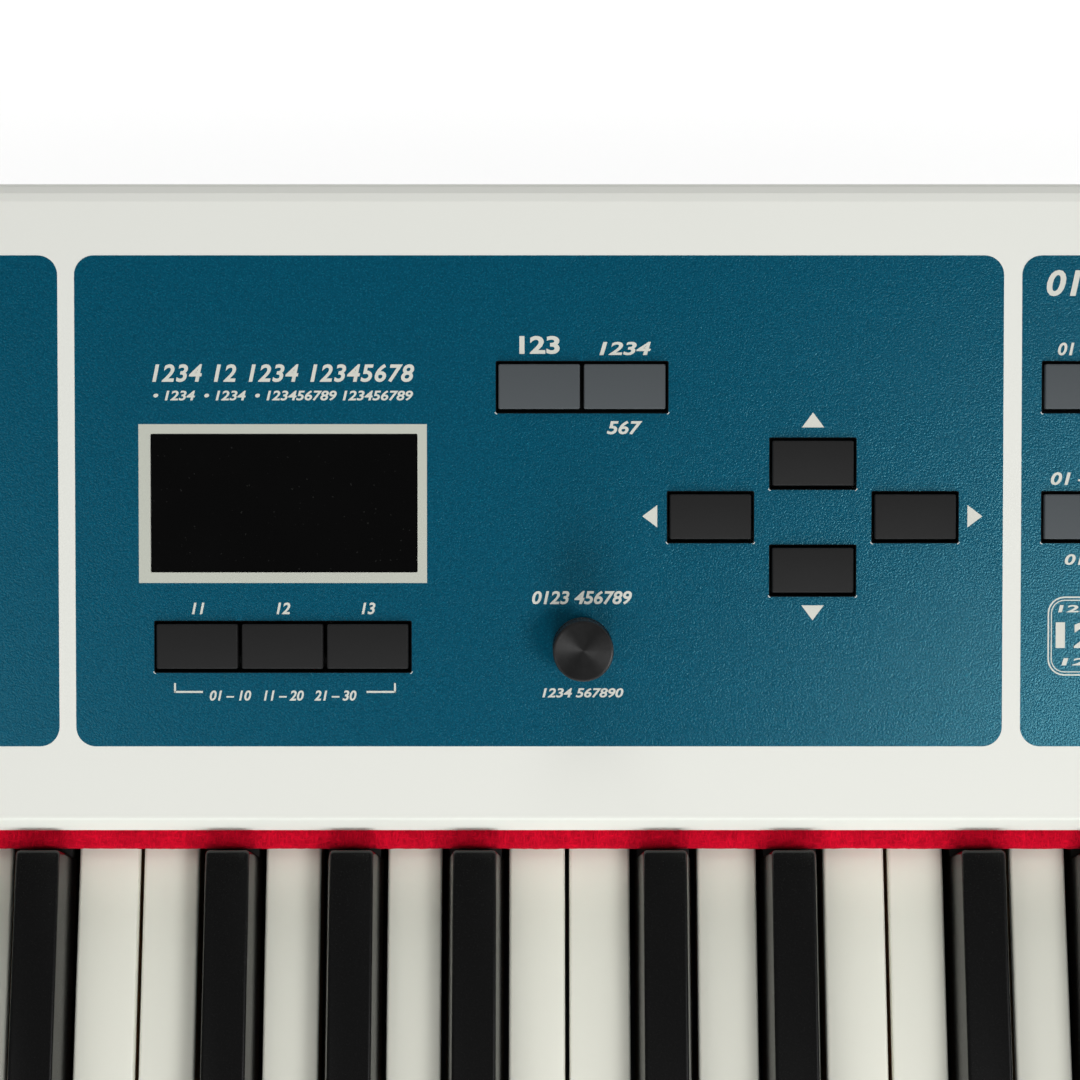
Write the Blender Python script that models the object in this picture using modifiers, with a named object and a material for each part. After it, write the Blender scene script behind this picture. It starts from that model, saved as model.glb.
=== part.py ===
"""A stage piano with 88 keys, a sloping control panel and its rear connectors.

All lengths are in metres. X runs from the bass end to the treble end, Y from the player to the rear
and Z up. The origin lies on the surface that the feet stand on, under the middle of the body.
Places along Y are written from the front face of the body and moved by the body's parent empty.
Places on the control panel are (along X, up the slope, out of the panel) from its front upper edge.
"""

import math

import bmesh
import bpy
from mathutils import Matrix, Vector

# Fits
SEAT_GAP = 0.0003  # left between two pieces that touch
RUN_GAP = 0.0005  # left round a shaft or stem that moves
SHEET = 0.0015  # steel sheet of the top and rear panels
ROUND_STEPS = 24
BEND_STEPS = 4

# Keyboard
KEY_PITCH = 0.02357  # 165 mm to the octave of seven white keys
WHITE_COUNT = 52
KEY_GAP = 0.0010
WHITE_LENGTH = 0.150  # from a white key's front to the felt
WHITE_THICK = 0.020
WHITE_HEAD = 0.050  # the wide front part of a white key
WHITE_TOP = 0.075  # height of the playing surface over the ground
NOTCH_WIDTH = 0.0149  # opening between white keys for a black key
BLACK_WIDTH = 0.0127
BLACK_TOP_WIDTH = 0.0095
BLACK_RISE = 0.012
BLACK_SLANT = 0.004  # run of a black key's sloping front
BLACK_LEAD = 0.0015  # from the end of a white key's wide part to a black key's front
BLACK_SETBACK = 0.0010  # from a black key's rear face to the felt's edge
KEY_DIP = 0.010  # travel of a white key's front edge
PIVOT_BACK = 0.070  # the keys' pivot line lies this far behind the panel's front
PIVOT_DROP = 0.001  # the pivot line over the underside of the keys
KEY_TAIL = 0.017  # key behind its pivot
COMB_BRIDGE = 0.050  # depth of the web that joins grouped keys over their pivots
BLACK_SHIFT = {"C": -0.00225, "D": 0.00225, "F": -0.0035, "G": 0.0, "A": 0.0033}
SINGLE_KEYS = (19, 25)  # first and last white key of the octave of single keys
KEY_GROUPS = ((0, 8), (9, 18), (26, 29), (30, 36), (37, 43), (44, WHITE_COUNT - 1))

# Case
SLIP_DEPTH = 0.020
SLIP_TOP = 0.062
SLIP_ROUND = 0.006
SLIP_EDGE = 0.002
SLIP_CLEARANCE = 0.0015  # from the key slip to the fronts of the keys
END_CLEARANCE = 0.0009  # from the outermost keys to the cheeks
CHEEK_THICK = 0.0318
CHEEK_FRONT_TOP = 0.087
CHEEK_RISE = 0.003  # cheeks over the surface of the panel
CHEEK_EDGE = 0.002
CHEEK_CREST = 0.003  # rise of a cheek's top from its front to the foot of its ramp
CHEEK_RAMP = 0.026  # length of the ramp up to the panel
CHEEK_BENDS = (0.014, 0.030, 0.012, 0.008)  # radii of its nose, ramp foot, ramp top and rear corner
FOOT_HEIGHT = 0.0112
FOOT_RADIUS = 0.015
FOOT_INSET_X = 0.085  # from the end of the body
FOOT_INSET_Y = 0.040  # from the front and the rear of the body
TRAY_THICK = 0.0015
TRAY_INSET = 0.002
PANEL_DEPTH = 0.1328  # level distance from the panel's front edge to its rear edge
PANEL_SLOPE = math.radians(15.0)
LIP_HEIGHT = 0.0187
LIP_RETURN = 0.010
LIP_ROUND = 0.0012
REAR_ROUND = 0.004
REAR_FLANGE = 0.020
FELT_THICK = 0.0027
FELT_OVERHANG = 0.0037
FELT_UNDER = 0.008  # felt under the lip
FELT_CLEARANCE = 0.0023  # over the white keys

# Bed of the keys, folded from sheet
FRAME_SHEET = 0.0012
FRAME_FLANGE = 0.008  # in front of the rail
RAIL_SETBACK = 0.010  # from the fronts of the keys to the rail that stops them
RAIL_WIDTH = 0.022
RIDGE_WIDTH = 0.016
RIDGE_NOSE = 0.006  # width of the crest under the pivots
RIDGE_STEP = 0.006  # from the crest down to the shoulders

# Buttons, in rows on the panel
BUTTON_SIZE = (0.0174, 0.00955)
BUTTON_PITCH = 0.01825
BUTTON_MARGIN = (0.00080, 0.00085)  # from a button to its opening
BUTTON_RISE = 0.0012
BUTTON_SINK = 0.0031  # cap below the surface
BUTTON_EDGE = 0.0004
BUTTON_TRAVEL = 0.0008
STEM_SIZE = 0.004
SWITCH_CLEARANCE = 0.0001  # left over a switch at the end of the travel
CARRIER_THICK = 0.001
CARRIER_WIDTH = 0.008
ROW_HIGH = 0.0927
ROW_MIDDLE = 0.0649
ROW_LOW = 0.0371
FUNCTION_X = -0.1318  # middle of the row of three
MENU_X = -0.0677  # middle of the pair
ARROW_X = -0.0183
ARROW_SPREAD = (0.0219, 0.01145)
SOUND_X = 0.0399  # first button of the sound and memory rows
SOUND_COUNT = 8

# Display
SCREEN_SIZE = (0.0572, 0.0297)
SCREEN_AT = (-0.1315, 0.0679)
LENS_THICK = 0.0015
LENS_SINK = 0.0002
MODULE_BORDER = 0.003  # display module beyond the lens on each side

# Knobs, sliders and wheels
DATA_AT = (-0.0676, ROW_LOW)
DATA_RADIUS = 0.0064
DATA_HEIGHT = 0.0140
VOLUME_AT = (-0.390, 0.068)
VOLUME_RADIUS = 0.008
VOLUME_HEIGHT = 0.015
KNOB_LIFT = 0.0008
KNOB_EDGE = 0.0006
SHAFT_RADIUS = 0.003
SLIDER_X = (-0.330, -0.290, -0.250)
SLIDER_LOW = 0.048
SLIDER_TRAVEL = 0.040
SLIDER_CAP = (0.011, 0.016, 0.008)
SLIDER_STEM = (0.0014, 0.006)
WHEEL_X = (-0.585, -0.560)
WHEEL_AT = 0.075
WHEEL_RADIUS = 0.022
WHEEL_WIDTH = 0.012
WHEEL_SINK = 0.0135  # wheel centre below the surface of the panel
WHEEL_BORE = 0.0028
WHEEL_AXLE = 0.0025
WHEEL_SLOT_GAP = 0.0006
THUMB_NOTCH = 0.004
BRACKET_WALL = 0.002
BRACKET_DEPTH = 0.020
BRACKET_FLOOR_GAP = 0.0025

# Boards
BOARD_THICK = 0.0016
BOARD_DROP = 0.0124  # from the panel's surface to the board's upper side
BOARD_X = (-0.440, 0.190)
BOARD_SLOPE = (0.022, 0.118)
BOARD_POSTS_X = (-0.430, -0.220, -0.092, 0.020, 0.180)
POST_RADIUS = 0.003
SWITCH_SIZE = 0.006
SWITCH_HEIGHT = 0.0043
POT_SIZE = 0.014
POT_HEIGHT = 0.0041
FADER_SIZE = (0.008, 0.062, 0.0059)
MAIN_BOARD_REACH = 0.025  # beyond the connector blocks on each side
MAIN_BOARD_DEPTH = 0.036

# Rear connectors, side by side in three blocks that stand on the tray
BLOCK_LEFT = -0.228  # left side of the first block
BLOCK_DEPTH = 0.034
BLOCK_HEIGHT = 0.034
JACK_COUNT = 4
JACK_PITCH = 0.024
JACK_RADIUS = 0.0033
JACK_DEEP = 0.028
DATA_COUNT = 4  # two round and two flat sockets
DATA_PITCH = 0.024
DIN_RADIUS = 0.0068
DIN_DEEP = 0.009
PLUG_SLOT = (0.0130, 0.0056, 0.0120)  # width, height and depth of each flat socket
PLUG_SQUARE = (0.0086, 0.0080, 0.0120)
INLET_WIDTH = 0.062
INLET_SOCKET = (0.0246, 0.0166, 0.0180)
INLET_SOCKET_OFFSET = -0.012
POWER_SIZE = (0.012, 0.012)
POWER_OFFSET = 0.017
POWER_RISE = 0.0014
POWER_TRAVEL = 0.0010
POWER_LENGTH = 0.012
POWER_GAP = 0.0004

# Places that follow from the sizes
BLOCK_EDGE = WHITE_COUNT * KEY_PITCH / 2
INNER = BLOCK_EDGE + END_CLEARANCE
SPAN = INNER - SEAT_GAP
HALF_LENGTH = INNER + CHEEK_THICK
KEY_FRONT = SLIP_DEPTH + SLIP_CLEARANCE
FELT_FRONT = KEY_FRONT + WHITE_LENGTH
PANEL_FRONT = FELT_FRONT + FELT_OVERHANG
DEPTH = PANEL_FRONT + PANEL_DEPTH
TRAY_LOW = FOOT_HEIGHT + SEAT_GAP
TRAY_TOP = TRAY_LOW + TRAY_THICK
FLOOR = TRAY_TOP + SEAT_GAP
WHITE_LOW = WHITE_TOP - WHITE_THICK
PIVOT_Y = PANEL_FRONT + PIVOT_BACK
PIVOT_Z = WHITE_LOW + PIVOT_DROP
KEY_END = PIVOT_Y + KEY_TAIL
BRIDGE_FRONT = KEY_END - COMB_BRIDGE
DIP_ANGLE = math.asin(KEY_DIP / (PIVOT_Y - KEY_FRONT))
HEAD_END = KEY_FRONT + WHITE_HEAD
BLACK_FRONT = HEAD_END + BLACK_LEAD
BLACK_REAR = FELT_FRONT - BLACK_SETBACK
FELT_LOW = WHITE_TOP + FELT_CLEARANCE
FELT_TOP = FELT_LOW + FELT_THICK
LIP_LOW = FELT_TOP + SEAT_GAP
PANEL_EDGE_Z = LIP_LOW + LIP_HEIGHT
PANEL_REAR_Z = PANEL_EDGE_Z + PANEL_DEPTH * math.tan(PANEL_SLOPE)
LENS_LOW = -LENS_SINK - LENS_THICK
MODULE_TOP = min(LENS_LOW, -SHEET) - SEAT_GAP
SWITCH_TOP = -BOARD_DROP + SWITCH_HEIGHT
POT_TOP = -BOARD_DROP + POT_HEIGHT
FADER_TOP = -BOARD_DROP + FADER_SIZE[2]
JACK_X = BLOCK_LEFT + JACK_COUNT * JACK_PITCH / 2
DATA_X = JACK_X + (JACK_COUNT * JACK_PITCH + DATA_COUNT * DATA_PITCH) / 2 + SEAT_GAP
INLET_X = DATA_X + (DATA_COUNT * DATA_PITCH + INLET_WIDTH) / 2 + SEAT_GAP
BLOCK_RIGHT = INLET_X + INLET_WIDTH / 2
SOCKET_Z = FLOOR + BLOCK_HEIGHT / 2
REAR_FACE = DEPTH - SHEET - SEAT_GAP

for old in list(bpy.data.objects):
    bpy.data.objects.remove(old)

PIECES = bpy.data.collections.new("stage_piano")
CUTTERS = bpy.data.collections.new("stage_piano_cutters")
bpy.context.scene.collection.children.link(PIECES)
bpy.context.scene.collection.children.link(CUTTERS)


def finish(name, colour, roughness, metallic=0.0):
    """A plain material of one finish."""
    made = bpy.data.materials.new(name)
    made.use_nodes = True
    shader = made.node_tree.nodes["Principled BSDF"]
    shader.inputs["Base Color"].default_value = (*colour, 1.0)
    shader.inputs["Roughness"].default_value = roughness
    shader.inputs["Metallic"].default_value = metallic
    return made


PANEL_WHITE = finish("panel_white", (0.76, 0.77, 0.72), 0.5)
CASE_WHITE = finish("case_white", (0.76, 0.77, 0.72), 0.45)
TRAY_BLACK = finish("tray_black", (0.03, 0.03, 0.03), 0.6)
RUBBER = finish("rubber", (0.02, 0.02, 0.02), 0.9)
FELT_RED = finish("felt_red", (0.50, 0.01, 0.02), 0.95)
KEY_WHITE = finish("key_white", (0.70, 0.67, 0.58), 0.3)
KEY_BLACK = finish("key_black", (0.01, 0.01, 0.01), 0.45)
BUTTON_BLACK = finish("button_black", (0.025, 0.025, 0.025), 0.4)
BUTTON_GREY = finish("button_grey", (0.07, 0.08, 0.085), 0.45)
KNOB_BLACK = finish("knob_black", (0.025, 0.025, 0.026), 0.35)
SCREEN_BLACK = finish("screen_black", (0.003, 0.003, 0.003), 0.08)
FRAME_METAL = finish("frame_metal", (0.50, 0.50, 0.51), 0.4, 1.0)
BRACKET_STEEL = finish("bracket_steel", (0.55, 0.55, 0.56), 0.35, 1.0)
BOARD_GREEN = finish("board_green", (0.02, 0.12, 0.06), 0.5)
SOCKET_BLACK = finish("socket_black", (0.02, 0.02, 0.02), 0.5)


def empty(name, place, turn=0.0, parent=None):
    """A carrier frame, turned about X."""
    made = bpy.data.objects.new(name, None)
    made.location = place
    made.rotation_euler = (turn, 0.0, 0.0)
    made.parent = parent
    PIECES.objects.link(made)
    return made


BODY = empty("piano_body", (0.0, -DEPTH / 2, 0.0))
PANEL = empty("control_panel", (0.0, PANEL_FRONT, PANEL_EDGE_Z), PANEL_SLOPE, BODY)


def piece(name, mesh, material, origin=(0.0, 0.0, 0.0), parent=BODY):
    """A finished sub-part whose origin is moved to its seat or joint axis."""
    mesh.name = name
    mesh.transform(Matrix.Translation(-Vector(origin)))
    mesh.materials.clear()
    mesh.materials.append(material)
    made = bpy.data.objects.new(name, mesh)
    made.location = origin
    made.parent = parent
    PIECES.objects.link(made)
    return made


def tool(mesh, parent=BODY):
    """A hidden shape for a Boolean modifier."""
    made = bpy.data.objects.new("cutter", mesh)
    made.parent = parent
    made.hide_render = True
    made.display_type = "WIRE"
    CUTTERS.objects.link(made)
    return made


def combine(target, mesh, operation="DIFFERENCE", parent=BODY):
    """Cuts a mesh out of a sub-part, or joins it on."""
    modifier = target.modifiers.new(operation.lower(), "BOOLEAN")
    modifier.operation = operation
    modifier.solver = "EXACT"
    modifier.object = tool(mesh, parent)


def bevel(target, width, segments=1):
    """Rounds a sub-part's sharp edges."""
    modifier = target.modifiers.new("edges", "BEVEL")
    modifier.width = width
    modifier.segments = segments
    modifier.limit_method = "ANGLE"
    modifier.angle_limit = math.radians(40)


def mesh_from(shape):
    """The mesh of a finished bmesh."""
    mesh = bpy.data.meshes.new("shape")
    shape.to_mesh(mesh)
    shape.free()
    return mesh


def boxes(*corners):
    """Separate boxes in one mesh, each from its low and high corner."""
    shape = bmesh.new()
    for low, high in corners:
        low, high = Vector(low), Vector(high)
        size = Matrix.Diagonal((*(high - low), 1.0))
        bmesh.ops.create_cube(shape, size=1.0, matrix=Matrix.Translation((low + high) / 2) @ size)
    return mesh_from(shape)


def block(middle, size):
    """The low and high corners of a box with this middle and size."""
    half = Vector(size) / 2
    return Vector(middle) - half, Vector(middle) + half


def rods(ends, radius, steps=ROUND_STEPS):
    """Separate round rods in one mesh, each between two points."""
    shape = bmesh.new()
    for start, end in ends:
        start, end = Vector(start), Vector(end)
        turn = (end - start).to_track_quat("Z", "Y").to_matrix().to_4x4()
        place = Matrix.Translation((start + end) / 2) @ turn
        bmesh.ops.create_cone(
            shape,
            cap_ends=True,
            segments=steps,
            radius1=radius,
            radius2=radius,
            depth=(end - start).length,
            matrix=place,
        )
    return mesh_from(shape)


def outline(points, low, high, across=False):
    """A flat outline made solid between two levels along Z, or if across, one in Y and Z along X."""
    curve = bpy.data.curves.new("outline", "CURVE")
    curve.dimensions = "2D"
    curve.fill_mode = "BOTH"
    curve.extrude = (high - low) / 2
    spline = curve.splines.new("POLY")
    spline.points.add(len(points) - 1)
    for point, (first, second) in zip(spline.points, points):
        point.co = (first, second, 0.0, 1.0)
    spline.use_cyclic_u = True
    drawn = bpy.data.objects.new("outline", curve)
    CUTTERS.objects.link(drawn)
    bpy.context.view_layer.update()
    mesh = bpy.data.meshes.new_from_object(drawn.evaluated_get(bpy.context.evaluated_depsgraph_get()))
    bpy.data.objects.remove(drawn)
    shape = bmesh.new()
    shape.from_mesh(mesh)
    bmesh.ops.remove_doubles(shape, verts=shape.verts, dist=1e-6)
    flat = math.radians(1.0)
    bmesh.ops.dissolve_limit(shape, angle_limit=flat, verts=shape.verts, edges=shape.edges)
    bmesh.ops.translate(shape, verts=shape.verts, vec=(0.0, 0.0, (low + high) / 2))
    if across:
        turn = Matrix(((0, 0, 1), (1, 0, 0), (0, 1, 0)))
        bmesh.ops.rotate(shape, verts=shape.verts, matrix=turn, cent=(0, 0, 0))
    bmesh.ops.recalc_face_normals(shape, faces=shape.faces)
    shape.to_mesh(mesh)
    shape.free()
    return mesh


def turned(profile, steps=ROUND_STEPS):
    """A turned solid about Z from (radius, height) points that run down its outer side."""
    mesh = bpy.data.meshes.new("profile")
    count = len(profile)
    closed = profile[0][0] > 0
    links = [(i, i + 1) for i in range(count - 1)] + ([(count - 1, 0)] if closed else [])
    mesh.from_pydata([(radius, 0.0, height) for radius, height in profile], links, [])
    drawn = bpy.data.objects.new("profile", mesh)
    CUTTERS.objects.link(drawn)
    screw = drawn.modifiers.new("turn", "SCREW")
    screw.steps = steps
    screw.render_steps = steps
    screw.use_merge_vertices = True
    screw.merge_threshold = 1e-5
    bpy.context.view_layer.update()
    made = bpy.data.meshes.new_from_object(drawn.evaluated_get(bpy.context.evaluated_depsgraph_get()))
    bpy.data.objects.remove(drawn)
    shape = bmesh.new()
    shape.from_mesh(made)
    bmesh.ops.remove_doubles(shape, verts=shape.verts, dist=1e-6)
    bmesh.ops.recalc_face_normals(shape, faces=shape.faces)
    shape.to_mesh(made)
    shape.free()
    made.shade_smooth()
    made.set_sharp_from_angle(angle=math.radians(35))
    return made


def rounded(corners, steps=BEND_STEPS):
    """Points of a line through (y, z, radius) corners with its bends rounded."""
    points = []
    for index, (y, z, radius) in enumerate(corners):
        here = Vector((y, z))
        if radius <= 0 or index in (0, len(corners) - 1):
            points.append((y, z))
            continue
        before = (Vector(corners[index - 1][:2]) - here).normalized()
        after = (Vector(corners[index + 1][:2]) - here).normalized()
        half = before.angle(after) / 2
        centre = here + (before + after).normalized() * radius / math.sin(half)
        start = here + before * radius / math.tan(half) - centre
        end = here + after * radius / math.tan(half) - centre
        sweep = start.angle_signed(end)
        for step in range(steps + 1):
            swung = start.copy()
            swung.rotate(Matrix.Rotation(-sweep * step / steps, 2))
            points.append(tuple(centre + swung))
    return points


def inward(corners, distance):
    """Corners of the line that runs a sheet's thickness inside another, on its right-hand side."""
    lines = []
    for (y0, z0, _), (y1, z1, _) in zip(corners, corners[1:]):
        along = Vector((y1 - y0, z1 - z0)).normalized()
        side = Vector((along.y, -along.x)) * distance
        lines.append((Vector((y0, z0)) + side, along))
    moved = [(*lines[0][0], 0.0)]
    for (first, along), (second, beyond), corner in zip(lines, lines[1:], corners[1:]):
        gap = second - first
        share = (gap.x * beyond.y - gap.y * beyond.x) / (along.x * beyond.y - along.y * beyond.x)
        moved.append((*(first + along * share), max(corner[2] - distance, 0.0)))
    y, z, _ = corners[-1]
    last = lines[-1][1]
    moved.append((y + last.y * distance, z - last.x * distance, 0.0))
    return moved


def letter(white):
    """The note name of a white key, counted from the bass end."""
    return "ABCDEFG"[white % 7]


def octave(white):
    """The octave number of a white key."""
    return (white + 5) // 7


def edge_of(white):
    """X of the line between a white key and the one before it."""
    return -BLOCK_EDGE + white * KEY_PITCH


def black_after(white):
    """X of the middle of the black key after a white key, or None."""
    shift = BLACK_SHIFT.get(letter(white))
    if shift is None or not 0 <= white < WHITE_COUNT - 1:
        return None
    return edge_of(white + 1) + shift


def white_path(white, rear):
    """A white key's plan from its rear left round its front to its rear right."""
    left, right = edge_of(white) + KEY_GAP / 2, edge_of(white + 1) - KEY_GAP / 2
    before, after = black_after(white - 1), black_after(white)
    waist_left = left if before is None else before + NOTCH_WIDTH / 2
    waist_right = right if after is None else after - NOTCH_WIDTH / 2
    path = [(waist_left, rear)]
    if before is not None:
        path += [(waist_left, HEAD_END), (left, HEAD_END)]
    path += [(left, KEY_FRONT), (right, KEY_FRONT)]
    if after is not None:
        path += [(right, HEAD_END), (waist_right, HEAD_END)]
    return path + [(waist_right, rear)]


def black_solid(middle):
    """A whole black key: its side view made solid and drawn in towards the top."""
    side = [
        (BLACK_FRONT, WHITE_LOW),
        (BLACK_FRONT, WHITE_TOP),
        (BLACK_FRONT + BLACK_SLANT, WHITE_TOP + BLACK_RISE),
        (BLACK_REAR, WHITE_TOP + BLACK_RISE),
        (BLACK_REAR, WHITE_TOP),
        (KEY_END, WHITE_TOP),
        (KEY_END, WHITE_LOW),
    ]
    mesh = outline(side, middle - BLACK_WIDTH / 2, middle + BLACK_WIDTH / 2, across=True)
    for vertex in mesh.vertices:
        if vertex.co.z > WHITE_TOP + BLACK_RISE / 2:
            vertex.co.x = middle + (vertex.co.x - middle) * BLACK_TOP_WIDTH / BLACK_WIDTH
    return mesh


def raise_blacks(mesh, middles):
    """Raises the black keys out of the fingers that a group's plan gives them."""
    shape = bmesh.new()
    shape.from_mesh(mesh)
    everything = shape.verts[:] + shape.edges[:] + shape.faces[:]
    bmesh.ops.bisect_plane(shape, geom=everything, plane_co=(0, BLACK_REAR, 0), plane_no=(0, 1, 0))
    for middle in middles:
        for face in shape.faces:
            spot = face.calc_center_median()
            if face.normal.z > 0.9 and spot.y < BLACK_REAR and abs(spot.x - middle) < BLACK_WIDTH / 4:
                break
        grown = bmesh.ops.extrude_face_region(shape, geom=[face])["geom"]
        for vertex in (part for part in grown if isinstance(part, bmesh.types.BMVert)):
            vertex.co.z += BLACK_RISE
            vertex.co.x = middle + (vertex.co.x - middle) * BLACK_TOP_WIDTH / BLACK_WIDTH
            if vertex.co.y < (BLACK_FRONT + BLACK_REAR) / 2:
                vertex.co.y += BLACK_SLANT
        shape.faces.remove(face)
    shape.to_mesh(mesh)
    shape.free()
    return mesh


def black_path(middle, rear):
    """A black key's plan from its rear left round its front to its rear right."""
    left, right = middle - BLACK_WIDTH / 2, middle + BLACK_WIDTH / 2
    return [(left, rear), (left, BLACK_FRONT), (right, BLACK_FRONT), (right, rear)]


def single_white(white):
    """One white key, which turns about its pivot line."""
    middle = (edge_of(white) + edge_of(white + 1)) / 2
    mesh = outline(white_path(white, KEY_END), WHITE_LOW, WHITE_TOP)
    name = f"key_{letter(white)}{octave(white)}"
    piece(name, mesh, KEY_WHITE, (middle, PIVOT_Y, PIVOT_Z))


def single_black(white):
    """The black key after a white key, which turns about the same line."""
    middle = black_after(white)
    name = f"key_{letter(white)}{octave(white)}_sharp"
    piece(name, black_solid(middle), KEY_BLACK, (middle, PIVOT_Y, PIVOT_Z))


def key_group(first, last):
    """The keys from one white key to another, joined behind the panel by a web over their pivots."""
    path = []
    middles = []
    for white in range(first, last + 1):
        path += white_path(white, BRIDGE_FRONT)
        middle = black_after(white)
        if white < last and middle is not None:
            path += black_path(middle, BRIDGE_FRONT)
            middles.append(middle)
    path[0] = (path[0][0], KEY_END)
    path[-1] = (path[-1][0], KEY_END)
    name = f"keys_{letter(first)}{octave(first)}_to_{letter(last)}{octave(last)}"
    middle = (edge_of(first) + edge_of(last + 1)) / 2
    mesh = raise_blacks(outline(path, WHITE_LOW, WHITE_TOP), middles)
    piece(name, mesh, KEY_WHITE, (middle, PIVOT_Y, PIVOT_Z))


def keyboard():
    """An octave of single keys in the middle and whole groups on both sides of it."""
    single_first, single_last = SINGLE_KEYS
    for white in range(single_first, single_last + 1):
        single_white(white)
        if white < single_last and black_after(white) is not None:
            single_black(white)
    for first, last in KEY_GROUPS:
        key_group(first, last)


def case():
    """Tray, feet, cheeks, key slip, top panel, rear panel and felt."""
    tray_size = (2 * (HALF_LENGTH - TRAY_INSET), DEPTH - 2 * TRAY_INSET, TRAY_THICK)
    tray = block((0, DEPTH / 2, (TRAY_LOW + TRAY_TOP) / 2), tray_size)
    piece("base_tray", boxes(tray), TRAY_BLACK)
    spots = [(x, y) for x in (-1, 1) for y in (FOOT_INSET_Y, DEPTH - FOOT_INSET_Y)]
    for number, (side, y) in enumerate(spots, 1):
        x = side * (HALF_LENGTH - FOOT_INSET_X)
        foot = rods([((x, y, 0), (x, y, FOOT_HEIGHT))], FOOT_RADIUS)
        piece(f"foot_{number}", foot, RUBBER, (x, y, 0))

    nose, ramp_foot, ramp_top, rear_bend = CHEEK_BENDS
    shoulder = PANEL_FRONT - CHEEK_EDGE
    shoulder_top = PANEL_EDGE_Z + CHEEK_RISE - CHEEK_EDGE * math.tan(PANEL_SLOPE)
    side_view = rounded(
        [
            (0, FLOOR, 0),
            (0, CHEEK_FRONT_TOP, nose),
            (shoulder - CHEEK_RAMP, CHEEK_FRONT_TOP + CHEEK_CREST, ramp_foot),
            (shoulder, shoulder_top, ramp_top),
            (DEPTH, PANEL_REAR_Z + CHEEK_RISE, rear_bend),
            (DEPTH, FLOOR, 0),
        ]
    )
    for name, low in (("left_cheek", -HALF_LENGTH), ("right_cheek", INNER)):
        cheek = piece(name, outline(side_view, low, low + CHEEK_THICK, across=True), CASE_WHITE)
        bevel(cheek, CHEEK_EDGE, 2)

    slip = rounded(
        [
            (SLIP_DEPTH, FLOOR, 0),
            (0, FLOOR, 0),
            (0, SLIP_TOP, SLIP_ROUND),
            (SLIP_DEPTH, SLIP_TOP, SLIP_EDGE),
            (SLIP_DEPTH, FLOOR, 0),
        ]
    )
    piece("key_slip", outline(slip[:-1], -SPAN, SPAN, across=True), CASE_WHITE)

    felt = ((-SPAN, FELT_FRONT, FELT_LOW), (SPAN, PANEL_FRONT + FELT_UNDER, FELT_TOP))
    piece("felt_strip", boxes(felt), FELT_RED)


def button_spots():
    """The middle of every button on the panel, by name."""
    spots = {}
    for number in (1, 2, 3):
        spots[f"f{number}_button"] = (FUNCTION_X + (number - 2) * BUTTON_PITCH, ROW_LOW)
    spots["menu_button_1"] = (MENU_X - BUTTON_PITCH / 2, ROW_HIGH)
    spots["menu_button_2"] = (MENU_X + BUTTON_PITCH / 2, ROW_HIGH)
    spots["up_button"] = (ARROW_X, ROW_MIDDLE + ARROW_SPREAD[1])
    spots["down_button"] = (ARROW_X, ROW_MIDDLE - ARROW_SPREAD[1])
    spots["left_button"] = (ARROW_X - ARROW_SPREAD[0], ROW_MIDDLE)
    spots["right_button"] = (ARROW_X + ARROW_SPREAD[0], ROW_MIDDLE)
    spots["sound_button_1"] = (SOUND_X, ROW_HIGH)
    spots["memory_button_1"] = (SOUND_X, ROW_MIDDLE)
    return spots


def bank_spots(row):
    """The middles of the second to the last button of the sound or the memory row."""
    return [(SOUND_X + number * BUTTON_PITCH, row) for number in range(1, SOUND_COUNT)]


def opening(spots):
    """The low and high corners of the panel opening round one button or a row of them."""
    half = [BUTTON_SIZE[i] / 2 + BUTTON_MARGIN[i] for i in (0, 1)]
    low = (min(x for x, _ in spots) - half[0], min(y for _, y in spots) - half[1], -2 * SHEET)
    high = (max(x for x, _ in spots) + half[0], max(y for _, y in spots) + half[1], SHEET)
    return low, high


def wheel_slot(x):
    """The panel opening that a wheel stands out of."""
    reach = math.sqrt(WHEEL_RADIUS**2 - WHEEL_SINK**2) + 2 * WHEEL_SLOT_GAP
    return block((x, WHEEL_AT, 0), (WHEEL_WIDTH + 2 * WHEEL_SLOT_GAP, 2 * reach, 4 * SHEET))


def top_panel():
    """The sloping sheet with its front lip, rear flange and all openings."""
    corners = [
        (PANEL_FRONT + LIP_RETURN, LIP_LOW, 0),
        (PANEL_FRONT, LIP_LOW, LIP_ROUND),
        (PANEL_FRONT, PANEL_EDGE_Z, LIP_ROUND),
        (DEPTH, PANEL_REAR_Z, REAR_ROUND),
        (DEPTH, PANEL_REAR_Z - REAR_FLANGE, 0),
    ]
    inner = inward(corners, SHEET)
    section = rounded(corners) + rounded(inner)[::-1]
    panel = piece("top_panel", outline(section, -SPAN, SPAN, across=True), PANEL_WHITE)

    spots = button_spots()
    rows = [
        [spots["f1_button"], spots["f3_button"]],
        [spots["menu_button_1"], spots["menu_button_2"]],
        [spots["up_button"]],
        [spots["down_button"]],
        [spots["left_button"]],
        [spots["right_button"]],
        [spots["sound_button_1"], *bank_spots(ROW_HIGH)],
        [spots["memory_button_1"], *bank_spots(ROW_MIDDLE)],
    ]
    holes = [opening(row) for row in rows]
    holes.append(block((*SCREEN_AT, 0), (*SCREEN_SIZE, 4 * SHEET)))
    for x in SLIDER_X:
        width = SLIDER_STEM[0] + 2 * RUN_GAP
        length = SLIDER_TRAVEL + SLIDER_STEM[1] + 2 * RUN_GAP
        holes.append(block((x, SLIDER_LOW + SLIDER_TRAVEL / 2, 0), (width, length, 4 * SHEET)))
    holes += [wheel_slot(x) for x in WHEEL_X]
    combine(panel, boxes(*holes), parent=PANEL)
    shafts = [((x, y, -2 * SHEET), (x, y, SHEET)) for x, y in (DATA_AT, VOLUME_AT)]
    combine(panel, rods(shafts, SHAFT_RADIUS + RUN_GAP, 16), parent=PANEL)


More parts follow.
